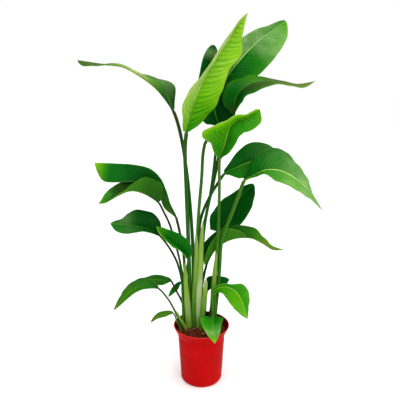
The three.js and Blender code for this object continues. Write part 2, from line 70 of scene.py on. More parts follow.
def node(tree, kind, inputs=None, **settings):
    """Adds a shader node, sets its options and fills its inputs with values or links."""
    made = tree.nodes.new(kind)
    for name, value in settings.items():
        setattr(made, name, value)
    for name, value in (inputs or {}).items():
        if isinstance(value, bpy.types.NodeSocket):
            tree.links.new(value, made.inputs[name])
        else:
            made.inputs[name].default_value = value
    return made


def surface(name, **sockets):
    """A new material with one Principled shader, whose constant sockets are set here."""
    material = bpy.data.materials.new(name)
    material.use_nodes = True
    tree = material.node_tree
    shader = tree.nodes["Principled BSDF"]
    for socket, value in sockets.items():
        shader.inputs[socket.replace("_", " ")].default_value = value
    return material, tree, shader


def feed(tree, shader, **links):
    """Links colours or numbers into the shader's sockets."""
    for socket, link in links.items():
        tree.links.new(link, shader.inputs[socket.replace("_", " ")])


def relief(tree, shader, height, strength, depth):
    """Lets a pattern catch the light as if it were raised by this depth, in metres."""
    made = node(tree, "ShaderNodeBump", {"Height": height, "Strength": strength, "Distance": depth})
    feed(tree, shader, Normal=made.outputs["Normal"])


def ramp(tree, factor, stops):
    """A colour ramp through (position, hex colour) stops."""
    made = node(tree, "ShaderNodeValToRGB", {"Fac": factor})
    elements = made.color_ramp.elements
    while len(elements) < len(stops):
        elements.new(0.5)
    for element, (position, colour) in zip(elements, stops):
        element.position = position
        element.color = linear(colour)
    return made.outputs["Color"]


print("red plastic in linear values:", [round(c, 3) for c in linear("#b40709")])

# %% [markdown]
# ## What a leaf blade needs to know about itself
# A pattern on a leaf follows the leaf, not the room. Each blade therefore carries numbers on its
# vertices, which the materials read as attributes. `tone` says how young and yellow the green is,
# `vein` is the distance along the side veins, `crease` marks the valleys of the pleats with painted
# shade and, below 0, their ridges with a painted highlight, `from_rib` and `from_edge` are the
# distances from the midrib and the margin, the painted-sheen number is the share of the surface under
# a painted grey-green sheen, and `dry` the share that is turning brown. Distances are in metres.

# %% Leaf greens
LEAF_GREENS = [
    (0.00, "#012806"),
    (0.20, "#003c08"),
    (0.40, "#065c0c"),
    (0.58, "#267c06"),
    (0.76, "#58a006"),
    (0.90, "#84bc12"),
    (1.00, "#aac85c"),
]
UNDERSIDE_GREENS = [
    (0.00, "#0e3a0c"),
    (0.42, "#34740e"),
    (0.70, "#5e9a1c"),
    (1.00, "#aaba74"),
]
print("greens:", len(LEAF_GREENS), "above and", len(UNDERSIDE_GREENS), "below")

# %% Patterns on a leaf
FINE_VEIN = 2.4 * MM
DRIFT_SIZE = 45 * MM
DRIFT = 0.14
CREASE_SHADE = -0.2


def attribute(tree, name):
    """The value of one of the leaf's own attributes."""
    return node(tree, "ShaderNodeAttribute", attribute_name=name).outputs["Fac"]


def maths(tree, operation, a, b=0.0):
    """One sum, product or other operation on two numbers or links."""
    made = node(tree, "ShaderNodeMath", {0: a, 1: b}, operation=operation)
    return made.outputs["Value"]


def fine_veins(tree):
    """A ripple from -1 to 1 that follows the side veins, 2.4 mm apart."""
    phase = maths(tree, "MULTIPLY", attribute(tree, "vein"), 2 * math.pi / FINE_VEIN)
    return maths(tree, "SINE", phase)


def patches(tree, size, detail=3.0):
    """Soft noise from 0 to 1 whose patches are about this many metres across."""
    place = node(tree, "ShaderNodeTexCoord").outputs["Object"]
    made = node(tree, "ShaderNodeTexNoise", {"Vector": place, "Scale": 1 / size, "Detail": detail})
    return made.outputs["Fac"]


def remap(tree, value, low, high, to_low, to_high):
    """Eases a value from one range into another and holds it there."""
    made = node(
        tree,
        "ShaderNodeMapRange",
        {"Value": value, "From Min": low, "From Max": high, "To Min": to_low, "To Max": to_high},
        interpolation_type="SMOOTHSTEP",
    )
    return made.outputs["Result"]


def blend(tree, share, base, over):
    """Lays one colour over another; each is a link or a hex colour."""
    colours = [linear(c) if isinstance(c, str) else c for c in (base, over)]
    made = node(tree, "ShaderNodeMix", {0: share, 6: colours[0], 7: colours[1]}, data_type="RGBA")
    return made.outputs[2]


def leaf_tone(tree, vein_depth):
    """The tone attribute with soft drift, painted shade in the creases, a painted highlight on the ridges
    and faint lines along the veins.
    """
    cloud = maths(tree, "SUBTRACT", patches(tree, DRIFT_SIZE), 0.5)
    drift = maths(tree, "MULTIPLY", cloud, DRIFT)
    lined = maths(tree, "MULTIPLY", fine_veins(tree), vein_depth)
    # Painted shade in the creases of the pleats and a painted highlight on their ridges.
    dark = maths(tree, "MULTIPLY", attribute(tree, "crease"), CREASE_SHADE)
    tone = maths(tree, "ADD", attribute(tree, "tone"), drift)
    return maths(tree, "ADD", maths(tree, "ADD", tone, lined), dark)


print("fine veins in mm apart:", round(FINE_VEIN / MM, 1))

# %% [markdown]
# ## The upper face of a blade
# The leathery blade has a waxy cuticle: a thin clear coat over green tissue. It is a dielectric with
# the IOR of plant wax, about 1.45, and a fairly low roughness. In the very even light of the
# photograph its gloss hardly shows, so the specular level is kept low. A grey-green painted sheen
# lies on it in patches instead, and the face is a little rougher where that sheen lies. The blade is
# a little paler beside its midrib, and it dries to a thin line along its margin.

# %% Waxy upper face
def waxy_blade():
    material, tree, shader = surface("waxy_leaf_cuticle", IOR=1.45, Specular_IOR_Level=0.04)
    tone = leaf_tone(tree, 0.012)
    beside = remap(tree, attribute(tree, "from_rib"), 0.5 * MM, 3.5 * MM, 0.2, 0.0)
    green = ramp(tree, maths(tree, "ADD", tone, beside), LEAF_GREENS)
    # Painted sheen: a grey-green painted reflection laid over the green in patches, where the face is
    # also made a little rougher.
    cloud = remap(tree, patches(tree, 30 * MM, 4.0), 0.35, 0.65, 0.6, 1.0)
    bloom = maths(tree, "MULTIPLY", attribute(tree, "bloom"), cloud)
    colour = blend(tree, bloom, green, "#80a862")
    browned = remap(tree, patches(tree, 20 * MM, 4.0), 0.3, 0.7, 0.5, 1.0)
    colour = blend(tree, maths(tree, "MULTIPLY", attribute(tree, "dry"), browned), colour, "#6e6a1c")
    edge = remap(tree, attribute(tree, "from_edge"), 0.3 * MM, 1.6 * MM, 0.4, 0.0)
    colour = blend(tree, edge, colour, "#8c9c4c")
    worn = remap(tree, patches(tree, 25 * MM), 0.3, 0.7, 0.26, 0.4)
    dulled = maths(tree, "MULTIPLY", attribute(tree, "bloom"), 0.15)
    feed(tree, shader, Base_Color=colour, Roughness=maths(tree, "ADD", worn, dulled))
    relief(tree, shader, fine_veins(tree), 0.15, 0.15 * MM)
    return material


blade_upper = waxy_blade()
print("upper face:", blade_upper.name)

# %% [markdown]
# ## The underside, the margin and the stems
# The underside has the same veins but less gloss, and a paler, greyer green, as its wax is dull.
# The margin is a thin dry line, pale to brown. Petioles and midribs are firm and smooth, with fibres
# that run along them, so their streaks are noise stretched fifteen times along the stem.

# %% Dull underside and dry margin
def dull_underside():
    gloss = dict(IOR=1.45, Roughness=0.55, Specular_IOR_Level=0.06)
    material, tree, shader = surface("dull_leaf_underside", **gloss)
    green = ramp(tree, leaf_tone(tree, 0.03), UNDERSIDE_GREENS)
    feed(tree, shader, Base_Color=blend(tree, attribute(tree, "dry"), green, "#7c7434"))
    relief(tree, shader, fine_veins(tree), 0.15, 0.15 * MM)
    return material


def dry_margin():
    gloss = dict(IOR=1.45, Roughness=0.6, Specular_IOR_Level=0.08)
    material, tree, shader = surface("dry_leaf_margin", **gloss)
    paler = maths(tree, "ADD", attribute(tree, "tone"), 0.15)
    green = ramp(tree, paler, UNDERSIDE_GREENS)
    spots = remap(tree, patches(tree, 12 * MM), 0.5, 0.7, 0.0, 0.6)
    feed(tree, shader, Base_Color=blend(tree, spots, green, "#8a7a44"))
    return material


blade_under = dull_underside()
blade_margin = dry_margin()
print("underside and margin:", blade_under.name, blade_margin.name)

# %% Fibrous stems and sheaths
FIBRE_STRETCH = 15


def streaks(tree, width):
    """Noise drawn out along a stem: its UV map holds metres round and along."""
    uv = node(tree, "ShaderNodeTexCoord").outputs["UV"]
    scale = (1 / width, 1 / (width * FIBRE_STRETCH), 1.0)
    scaled = node(tree, "ShaderNodeMapping", {"Vector": uv, "Scale": scale}).outputs["Vector"]
    made = node(tree, "ShaderNodeTexNoise", {"Vector": scaled, "Scale": 1.0, "Detail": 3.0})
    return made.outputs["Fac"]


def fibrous(name, greens, fibre, contrast, roughness):
    """A smooth, firm stem with lengthwise fibres; `tone` picks its green."""
    material, tree, shader = surface(name, IOR=1.45, Specular_IOR_Level=0.08)
    grain = streaks(tree, fibre)
    shift = maths(tree, "MULTIPLY", maths(tree, "SUBTRACT", grain, 0.5), contrast)
    tone = maths(tree, "ADD", attribute(tree, "tone"), shift)
    green = ramp(tree, tone, greens)
    colour = blend(tree, attribute(tree, "dry"), green, "#6a541c")
    rough = remap(tree, grain, 0.3, 0.7, roughness - 0.08, roughness + 0.08)
    feed(tree, shader, Base_Color=colour, Roughness=rough)
    relief(tree, shader, grain, 0.3, 0.3 * MM)
    return material


STEM_GREENS = [
    (0.00, "#0c2c0a"),
    (0.30, "#144c0e"),
    (0.50, "#2c6c12"),
    (0.70, "#5a9018"),
    (0.85, "#96bc48"),
    (1.00, "#bce486"),
]
SHEATH_GREENS = [
    (0.00, "#164c0c"),
    (0.30, "#3c7c1a"),
    (0.55, "#749a30"),
    (0.75, "#86a060"),
    (1.00, "#b8c49c"),
]
stem_skin = fibrous("fibrous_petiole", STEM_GREENS, 1.5 * MM, 0.4, 0.38)
sheath_skin = fibrous("fibrous_sheath", SHEATH_GREENS, 2.0 * MM, 0.5, 0.42)
print("stems and sheaths:", stem_skin.name, sheath_skin.name)

# %% [markdown]
# ## Pot and soil finishes
# The pot is injection-moulded polypropylene: IOR 1.49, a soft satin, with a very faint orange-peel
# from the mould and a few scuffs. It has three finishes: plain outside, a darker red inside, which
# is painted shade, and a paler red along the lip, which is a painted highlight. The potting mix is
# damp peat with bark crumbs, which reflects almost nothing, so its roughness is near 1. The pale
# specks are perlite, a porous volcanic glass.

# %% Moulded plastic, potting mix and perlite
def moulded_polypropylene(name, stops):
    material, tree, shader = surface(name, IOR=1.49, Specular_IOR_Level=0.03)
    colour = ramp(tree, patches(tree, 70 * MM), stops)
    scuffs = remap(tree, patches(tree, 9 * MM, 6.0), 0.3, 0.7, 0.5, 0.6)
    feed(tree, shader, Base_Color=colour, Roughness=scuffs)
    relief(tree, shader, patches(tree, 1.6 * MM, 1.0), 0.12, 0.1 * MM)
    return material


def crumbly(name, stops, grit):
    """A dull, grainy material whose colour changes from crumb to crumb."""
    material, tree, shader = surface(name, Roughness=0.95, IOR=1.4, Specular_IOR_Level=0.1)
    grains = patches(tree, grit, 5.0)
    feed(tree, shader, Base_Color=ramp(tree, grains, stops))
    relief(tree, shader, grains, 0.8, 1.0 * MM)
    return material


pot_plastic = moulded_polypropylene("moulded_polypropylene", [(0.3, "#a60507"), (0.7, "#b40709")])
# Inner wall: a darker red that is painted shade inside the pot.
pot_inside_painted_shade = moulded_polypropylene("painted_shade_polypropylene", [(0.3, "#3a0404"), (0.7, "#5c080a")])
# Lip: a paler red that is a painted highlight along the top of the rim.
pot_lip_painted_highlight = moulded_polypropylene("painted_highlight_polypropylene", [(0.3, "#c42418"), (0.7, "#d84432")])
mix_browns = [(0.32, "#160604"), (0.5, "#43180e"), (0.66, "#8a4430")]
bark_browns = [(0.3, "#2c120a"), (0.5, "#5c2614"), (0.7, "#8a4a2a")]
potting_mix = crumbly("damp_potting_mix", mix_browns, 6 * MM)
bark_crumbs = crumbly("bark_crumbs", bark_browns, 4 * MM)
perlite = crumbly("white_perlite", [(0.3, "#e6ded6"), (0.7, "#faf8f4")], 1.5 * MM)
print("materials in all:", len(bpy.data.materials))

# %% [markdown]
# ## A smooth line through a few points
# A petiole and its midrib are one sweeping line. A Catmull-Rom spline passes through every point it
# is given, and its centripetal form never loops between points that lie close together. Walking it
# by length, instead of by point, keeps a pattern even along the leaf.

# %% A smooth line
CURVE_STEPS = 24
LOOK_AHEAD = 0.01
SMALLEST_GAP = 1e-4


def spline_point(p, u):
    """A point between p[1] and p[2] of a centripetal Catmull-Rom spline."""
    gap = [max((p[i + 1] - p[i]).length ** 0.5, SMALLEST_GAP) for i in range(3)]
    step = p[2] - p[1]
    start = (p[1] - p[0]) / gap[0] - (p[2] - p[0]) / (gap[0] + gap[1]) + step / gap[1]
    end = step / gap[1] - (p[3] - p[1]) / (gap[1] + gap[2]) + (p[3] - p[2]) / gap[2]
    start *= gap[1]
    end *= gap[1]
    square = -3 * p[1] + 3 * p[2] - 2 * start - end
    cube = 2 * p[1] - 2 * p[2] + start + end
    return p[1] + start * u + square * u**2 + cube * u**3


class Track:
    """A smooth line through points, from one of them to another, walked by length from 0 to 1."""

    def __init__(self, points, first, last):
        points = [Vector(p) for p in points]
        ends = [2 * points[0] - points[1], *points, 2 * points[-1] - points[-2]]
        self.samples = [
            spline_point(ends[i : i + 4], k / CURVE_STEPS)
            for i in range(first, last)
            for k in range(CURVE_STEPS)
        ]
        self.samples.append(points[last])
        self.lengths = [0.0]
        for a, b in zip(self.samples, self.samples[1:]):
            self.lengths.append(self.lengths[-1] + (b - a).length)
        self.total = self.lengths[-1]

    def at(self, t):
        want = min(max(t, 0.0), 1.0) * self.total
        k = 1
        while k < len(self.lengths) - 1 and self.lengths[k] < want:
            k += 1
        share = (want - self.lengths[k - 1]) / (self.lengths[k] - self.lengths[k - 1])
        return self.samples[k - 1].lerp(self.samples[k], share)

    def ahead(self, t):
        return (self.at(t + LOOK_AHEAD) - self.at(t - LOOK_AHEAD)).normalized()


print("test line length:", round(Track([(0, 0, 0), (1, 0, 1), (3, 0, 1)], 0, 2).total, 3))

# %% [markdown]
# ## Values that ease from place to place
# Widths, folds, tones and directions change along a leaf. Each is given at a few evenly spaced places
# from base to tip, and eased between them, so that nothing kinks.

# %% Eased values and directions
def smoothstep(x):
    x = min(max(x, 0.0), 1.0)
    return x * x * (3 - 2 * x)


def eased(keys, t):
    """The value of evenly spaced keys at t, eased from key to key."""
    if len(keys) == 1:
        return keys[0]
    x = min(max(t, 0.0), 1.0) * (len(keys) - 1)
    i = min(int(x), len(keys) - 2)
    w = smoothstep(x - i)
    return keys[i] * (1 - w) + keys[i + 1] * w


def directions(rows):
    return [Vector(row) for row in rows]


def across_line(v, along):
    """The part of a direction that lies across a line, as a unit vector."""
    return (v - along * v.dot(along)).normalized()


print("a quarter of the way from 0 to 1, eased:", eased([0, 1], 0.25))

# %% [markdown]
# ## How a leaf is described
# Each leaf is described as a grower would: where its stem stands in the soil, how thick the stem is
# at its foot and at the blade, the way the petiole climbs, the way the midrib bends, how wide each
# half of the blade is from base to tip, how steeply each half folds up, and which way the upper face
# looks. Sizes are in millimetres and angles in degrees, and a pair holds the left and the right half.
# The numbers are the CAD model's own, but for the rounder tips (`tip` below 1) and the right half of
# three tall leaves (back, rear and twisted), which is drawn a little closer to the real leaf.
#
# `tone` colours each half, 0 for old dark green and 1 for the palest yellow-green, `edge_tone` is
# added towards the margin, and `rib` is the spacing and height of the pleats.
# The sheen keys give, for each half, how much painted grey-green sheen lies on it.

# %% What most leaves share
COMMON = dict(
    slot="leaf",
    tip=1,
    wave=1,
    ruffle=9,
    grid=(180, 36),
    edge_tone=(0, 0),
    bloom=([0], [0]),
    dry=[0],
    stem_dry=[0],
)
SMALL = dict(ruffle=6, grid=(72, 24))
LEAVES = {}


def describe(name, **own):
    """Adds a leaf to the table: what most leaves share, then what is its own."""
    LEAVES[name] = {**COMMON, **own}


print("shared by most leaves:", ", ".join(COMMON))

# %% [markdown]
# ## The tall leaves
# Six leaves rise above the others. The youngest are yellow-green and still half rolled up, so their
# folds are steep. The older ones are broad and dark, and the longest reach out on thin tails.

# %% Tall leaves
describe(
    "leaf_far_left",
    root=(-26, 25),
    stem=(7, 6),
    petiole=[(-28, 26, 350), (-31, 24, 520), (-43, 24, 699), (-56, 24, 809), (-75, 26, 912)],
    midrib=[
        (-94, 28, 967), (-120, 30, 1005), (-152, 34, 1040), (-201, 38, 1075), (-259, 40, 1104),
        (-329, 36, 1111), (-401, 30, 1124),
    ],
    half=([8, 60, 72, 64, 50, 42, 26], [8, 60, 72, 64, 50, 36, 12]),
    fold=([20, 30, 10, 4, 2, -12, -45], [20, 48, 18, 2, 4, 4, 4]),
    face=[(0.3, -0.1, 1), (0.3, 0, 1), (0.1, 0, 1), (0, 0, 1)],
    tip=0.6,
    rib=(11, 0.35),
    tone=([0.35, 0.2, 0.5, 0.85, 0.95, 0.75, 0.45, 0.38, 0.35], [0.3, 0.25, 0.3, 0.5, 0.4, 0.3, 0.2]),
    edge_tone=(0, -0.2),
    bloom=([0], [0, 0.35, 0.45, 0.2, 0]),
    dry=[0.05, 0, 0.15, 0.35, 0.4, 0.3],
    stem_tone=[0.45, 0.3, 0.15],
    stem_dry=[0, 0, 0.1],
    rib_tone=[0.8, 0.75],
)
describe(
    "leaf_tall_front",
    slot="young_leaf",
    root=(-40, 33),
    stem=(7.5, 6.5),
    petiole=[(-42, 31, 350), (-46, 18, 522), (-52, 2, 737), (-54, -14, 840)],
    midrib=[
        (-48, -21, 900), (-40, -26, 933), (-32, -34, 974), (-17, -40, 1014), (10, -44, 1070),
        (41, -40, 1127), (81, -26, 1189), (145, 0, 1263),
    ],
    half=([14, 40, 64, 70, 66, 61, 42, 10], [8, 56, 74, 70, 60, 68, 31, 6]),
    fold=([5, 17, 38, 57, 67, 73, 69, 60], [30, 18, 14, 10]),
    face=[(0.57, -0.82, 0.15)],
    wave=1.5,
    rib=(18, 1.2),
    tone=([0.72, 0.88, 0.98, 1, 0.97, 0.95, 0.98], [0.56, 0.68, 0.8, 0.85, 0.86, 0.85, 0.95]),
    edge_tone=(0, 0.04),
    bloom=([0.05, 0.3, 0.45, 0.4, 0.3, 0.3], [0, 0, 0.1, 0.1, 0]),
    dry=[0, 0, 0, 0, 0, 0.05, 0.2],
    stem_tone=[0.5, 0.45, 0.35, 0.3],
    stem_dry=[0.1, 0, 0, 0.1],
    rib_tone=[1, 1],
)
describe(
    "leaf_tall_back",
    root=(-22, 50),
    stem=(6, 5),
    petiole=[(-13, 54, 360), (6, 50, 542), (34, 60, 692), (50, 70, 831), (60, 78, 966)],
    midrib=[
        (76, 82, 1052), (96, 86, 1088), (129, 92, 1130), (163, 98, 1166), (196, 106, 1197),
        (237, 116, 1226), (285, 128, 1261),
    ],
    half=([20, 56, 60, 46, 34, 20, 12], [20, 80, 92, 92, 86, 62, 26]),
    fold=([30, 20], [30, 16, 6]),
    face=[(0.1, -0.9, 0.3), (0.1, -0.8, 0.5)],
    tip=0.5,
    wave=2,
    rib=(14, 0.8),
    tone=([0.3, 0.35, 0.4, 0.42, 0.45, 0.5], [0.3, 0.38, 0.44, 0.5, 0.58, 0.64]),
    edge_tone=(0.05, 0.16),
    bloom=([0.3, 0.7, 0.9, 0.85, 0.5, 0.1], [0, 0, 0, 0.55, 0.6, 0.1]),
    stem_tone=[0.4, 0.3],
    rib_tone=[1, 0.95],
)
describe(
    "leaf_tall_rear",
    root=(-12, 25),
    stem=(6.2, 5.5),
    petiole=[(-12, 26, 380), (-13, 30, 555), (0, 38, 728), (14, 46, 861)],
    midrib=[(55, 50, 914), (48, 50, 950), (35, 50, 1005), (28, 48, 1063), (29, 44, 1119), (38, 40, 1174)],
    half=([30, 56, 56, 46, 34, 26, 16], [50, 80, 66, 58, 38, 28, 18]),
    fold=([30, 14, 8], [30, 14, 8]),
    face=[(-0.1, -1, 0.2), (-0.1, -1, 0.3)],
    tip=0.5,
    wave=1.5,
    rib=(12, 0.35),
    tone=([0.25, 0.25, 0.28, 0.3], [0.2, 0.15, 0.15, 0.2]),
    bloom=([0, 0, 0, 0, 0, 0, 0, 0, 0, 0.5, 0], [0, 0, 0, 0, 0, 0, 0, 0, 0, 0.4, 0]),
    stem_tone=[0.62, 0.5, 0.35],
    stem_dry=[0, 0.1],
    rib_tone=[0.75, 0.5],
)
describe(
    "leaf_twisted_right",
    root=(0, 24),
    stem=(6, 5),
    petiole=[(9, 28, 555), (42, 16, 732), (67, 2, 854)],
    midrib=[
        (104, -12, 955), (107, -16, 996), (122, -18, 1026), (152, -18, 1048), (204, -14, 1057),
        (261, -8, 1053), (314, -2, 1045), (366, 4, 1058),
    ],
    half=([8, 60, 74, 52, 46, 34, 10], [8, 36, 42, 40, 42, 34, 10]),
    fold=([30, 10, 0, 6, 6, 7, 4], [30, 0, -20, -14, -16, -14, -14]),
    face=[(-0.6, -0.7, 0.4), (-0.4, -0.4, 0.8), (0, 0, 1), (0, 0, 1)],
    wave=2,
    rib=(12, 0.35),
    tone=([0.12, 0.35, 0.5, 0.35, 0.4, 0.45], [0.12, 0.16, 0.22, 0.35, 0.4]),
    edge_tone=(0.2, 0.25),
    bloom=([0], [0, 0, 0.1, 0.2]),
    dry=[0.1, 0, 0.15, 0.4, 0.6, 0.6],
    stem_tone=[0.4, 0.25],
    rib_tone=[0.6, 0.5],
)
describe(
    "leaf_scoop",
    slot="young_leaf",
    root=(34, 52),
    stem=(6, 5),
    petiole=[(39, 52, 279), (57, 22, 513), (60, -6, 702)],
    midrib=[
        (60, -26, 818), (72, -38, 848), (79, -48, 881), (89, -54, 916), (108, -50, 934), (144, -30, 944),
        (189, 0, 970),
    ],
    half=([14, 66, 82, 40, 26, 22, 10], [14, 38, 46, 48, 46, 40, 30]),
    fold=([10, 0, 25, 75, 78, 76, 60], [50, 48, 35, 10, 5, 5, 5]),
    face=[(-0.1, -0.9, 0.4), (-0.1, -0.9, 0.3), (0, -1, 0.2)],
    rib=(14, 0.5),
    tone=([0.52, 0.62, 0.66, 0.66, 0.75], [0.46, 0.5, 0.54, 0.58, 0.68]),
    edge_tone=(0.24, 0.06),
    bloom=([0], [0, 0, 0.05]),
    stem_tone=[0.6, 0.5, 0.42, 0.5],
    stem_dry=[0.35, 0.2, 0.05, 0.4],
    rib_tone=[0.85, 0.75],
)
print("tall leaves:", len(LEAVES))

# %% [markdown]
# ## The arching leaves
# At mid height the older leaves lean out and arch over. A fold near 90 degrees stands a half on
# edge, and a larger one turns it over so that the underside shows. A fold below 0 hangs down.

# %% Arching leaves
describe(
    "leaf_right_rear",
    root=(-7, 38),
    stem=(6, 5),
    petiole=[(-6, 38, 380), (-4, 42, 584), (28, 46, 669), (53, 46, 712)],
    midrib=[(81, 46, 753), (116, 52, 770), (168, 60, 791), (231, 68, 807), (295, 74, 803)],
    half=([8, 30, 52, 66, 60, 36, 12], [8, 52, 58, 48, 40, 30, 12]),
    fold=([30, 20], [10, -5, -10]),
    face=[(0, -0.7, 0.7), (0, -0.5, 0.85)],
    wave=2,
    rib=(13, 0.8),
    tone=([0.3, 0.34, 0.38, 0.42], [0.42, 0.46, 0.46, 0.4]),
    edge_tone=(0, 0.1),
    bloom=([0, 0, 0.1, 0.3], [0, 0.1]),
    stem_tone=[0.35, 0.3],
    rib_tone=[0.75, 0.65],
)
describe(
    "leaf_right_arching",
    root=(49, 50),
    stem=(7.5, 6),
    petiole=[(64, 38, 387), (70, 28, 507), (81, 24, 553), (104, 14, 617), (128, 2, 693)],
    midrib=[
        (145, -6, 739), (171, -12, 753), (209, -18, 773), (258, -22, 772), (308, -24, 747),
        (356, -22, 705), (411, -16, 631),
    ],
    half=([8, 52, 84, 61, 44, 24, 6], [6, 30, 66, 66, 56, 34, 8]),
    fold=([40, 30, 25, 15, 5, -20, -20], [40, 30, 5, 5, 5, 10, 10]),
    face=[(0.1, -0.55, 0.8), (0.2, -0.5, 0.85), (0.4, -0.4, 0.8)],
    wave=1.5,
    rib=(13, 1),
    tone=([0.32, 0.42, 0.48, 0.52, 0.54, 0.56], [0.45, 0.58, 0.66, 0.64, 0.62]),
    edge_tone=(-0.05, 0.05),
    bloom=([0, 0, 0.15, 0.55, 0.9, 0.9, 0.8], [0, 0, 0.1, 0.5, 0.75, 0.75, 0.7]),
    stem_tone=[0.45, 0.5],
    stem_dry=[0, 0, 0.15],
    rib_tone=[1, 1],
)
describe(
    "leaf_left_arching",
    root=(-53, 28),
    stem=(6, 5),
    petiole=[(-65, 30, 488), (-79, 28, 562)],
    midrib=[
        (-88, 22, 604), (-108, 14, 652), (-120, 6, 699), (-139, -2, 745), (-171, -8, 776),
        (-222, -12, 790), (-288, -14, 795), (-354, -12, 798),
    ],
    half=([6, 26, 26, 36, 66, 70, 70], [6, 22, 26, 34, 50, 50, 24]),
    fold=([-30, -60, -60, -45, -25, -30, -30], [-30, -70, -70, -60, -50, -45, -45]),
    face=[(0.85, -0.2, 0.45), (0.85, -0.2, 0.45), (0.3, -0.4, 0.85), (0, -0.4, 0.9), (0, -0.4, 0.9)],
    rib=(12, 0.4),
    tone=([0.38, 0.3, 0.26, 0.24, 0.26, 0.4, 0.8], [0.4, 0.3, 0.26, 0.24, 0.26, 0.4, 0.8]),
    dry=[0.3, 0.1, 0, 0, 0, 0, 0.25],
    stem_tone=[0.58, 0.55, 0.35, 0.1, 0.05],
    stem_dry=[0, 0.2],
    rib_tone=[0.5, 0.5],
)
describe(
    "leaf_left_lobe",
    root=(-62, 38),
    stem=(5, 4),
    petiole=[(-66, 44, 362), (-105, 24, 560), (-127, -20, 634)],
    midrib=[
        (-141, -42, 670), (-162, -48, 688), (-187, -50, 702), (-216, -48, 710), (-243, -44, 707),
        (-274, -42, 692), (-308, -38, 673), (-345, -34, 664),
    ],
    half=([10, 60, 58, 24, 6, 10, 12, 4], [6, 24, 30, 34, 36, 34, 28, 6]),
    fold=([95, 100, 100, 92, 70, 40, 20, 5], [30, 30, 35, 45, 55, 60, 50, 30]),
    face=[(-0.2, -0.3, 0.95), (-0.2, -0.4, 0.9)],
    rib=(12, 0.4),
    tone=([0.1, 0.14, 0.3, 0.5, 0.6, 0.6], [0.38, 0.24, 0.1, 0.14, 0.5, 0.62]),
    edge_tone=(0.05, 0.15),
    bloom=([0], [0, 0, 0, 0, 0.1, 0.1]),
    dry=[0, 0, 0, 0.15, 0, 0],
    stem_tone=[0.55, 0.55, 0.35, 0.1, 0.05],
    stem_dry=[0.1],
    rib_tone=[0.6, 0.6],
)
describe(
    "leaf_left_mid",
    root=(-66, 20),
    stem=(5, 3.5),
    petiole=[(-68, 20, 320), (-70, 14, 372), (-86, 6, 445), (-109, 2, 494)],
    midrib=[(-143, -4, 543), (-176, -10, 566), (-219, -16, 582), (-265, -20, 587), (-309, -22, 593)],
    half=([6, 30, 40, 46, 46, 34, 12], [6, 46, 60, 58, 44, 20, 10]),
    fold=([55, 45, 15, 0], [30, 25, 10]),
    face=[(0, -0.7, 0.7), (0, -0.6, 0.8)],
    tip=0.7,
    wave=1.5,
    rib=(12, 0.4),
    tone=([0.3, 0.3, 0.38, 0.46], [0.24, 0.24, 0.32, 0.46]),
    edge_tone=(0, -0.08),
    bloom=([0, 0, 0.1, 0], [0, 0, 0, 0.3, 0]),
    stem_tone=[0.58, 0.55, 0.3, 0.05, 0.05],
    rib_tone=[0.6, 0.55],
)
describe(
    "leaf_centre_left",
    root=(-44, 17),
    stem=(5, 4),
    petiole=[(-52, 16, 330), (-54, 18, 405)],
    midrib=[(-47, -2, 459), (-74, -12, 499), (-104, -20, 527), (-130, -26, 557), (-153, -30, 586)],
    half=([6, 34, 44, 44, 34, 20, 8], [6, 34, 42, 42, 34, 20, 8]),
    fold=([60, 66, 60, 45], [35, 24, 14]),
    face=[(0.2, -0.8, 0.5), (0, -0.8, 0.6)],
    rib=(11, 0.4),
    tone=([0.4, 0.4, 0.42, 0.6], [0.4, 0.4, 0.42, 0.55]),
    edge_tone=(0.2, 0),
    dry=[0, 0, 0, 0.1],
    stem_tone=[0.45, 0.4],
    rib_tone=[0.75, 0.65],
)
describe(
    "leaf_right_dark",
    root=(30, 65),
    stem=(5.5, 4.5),
    petiole=[(48, 92, 302), (62, 120, 451)],
    midrib=[(63, 128, 519), (99, 132, 574), (124, 130, 620), (153, 128, 662), (192, 126, 702)],
    half=([34, 61, 60, 52, 34, 22, 12], [12, 44, 60, 63, 60, 44, 20]),
    fold=([30, 15, 10], [30, 15, 10]),
    face=[(-0.1, -0.9, 0.3)],
    tip=0.5,
    wave=1.5,
    rib=(12, 0.3),
    tone=([0.34, 0.28, 0.24, 0.28], [0.3, 0.26, 0.24, 0.3]),
    edge_tone=(0.05, 0.05),
    stem_tone=[0.3],
    rib_tone=[0.5, 0.4],
)
describe(
    "leaf_right_low",
    root=(4, 52),
    stem=(5, 4.5),
    petiole=[(0, 52, 319), (8, 50, 367)],
    midrib=[
        (19, 50, 418), (36, 48, 457), (61, 48, 488), (91, 48, 508), (130, 46, 520), (173, 42, 521),
        (215, 36, 508), (254, 30, 487), (292, 24, 484),
    ],
    half=([8, 42, 48, 50, 46, 42, 24, 12, 5], [12, 24, 34, 54, 36, 7, 8, 8, 8]),
    fold=([50, 50, 50, 48, 40, 30, 10, 0, 0], [80, 90, 95, 95, 90, 20, 10, 0, 0]),
    face=[(-0.5, -0.4, 0.8), (-0.2, -0.35, 0.9), (0, -0.4, 0.9), (0.2, -0.5, 0.8)],
    wave=2,
    rib=(11, 0.4),
    tone=([0.25, 0.22, 0.22, 0.42, 0.62, 0.5], [0.42, 0.36, 0.34, 0.4, 0.5]),
    edge_tone=(0, 0.12),
    dry=[0, 0, 0, 0.1, 0.5, 0.8],
    stem_tone=[0.05, 0.1],
    rib_tone=[0.6, 0.5],
)
print("tall and arching leaves:", len(LEAVES))

# %% [markdown]
# ## The low leaves
# The plant's first leaves are small and hang close to the pot. They get closer ruffles and a coarser
# grid, which is plenty for their size.

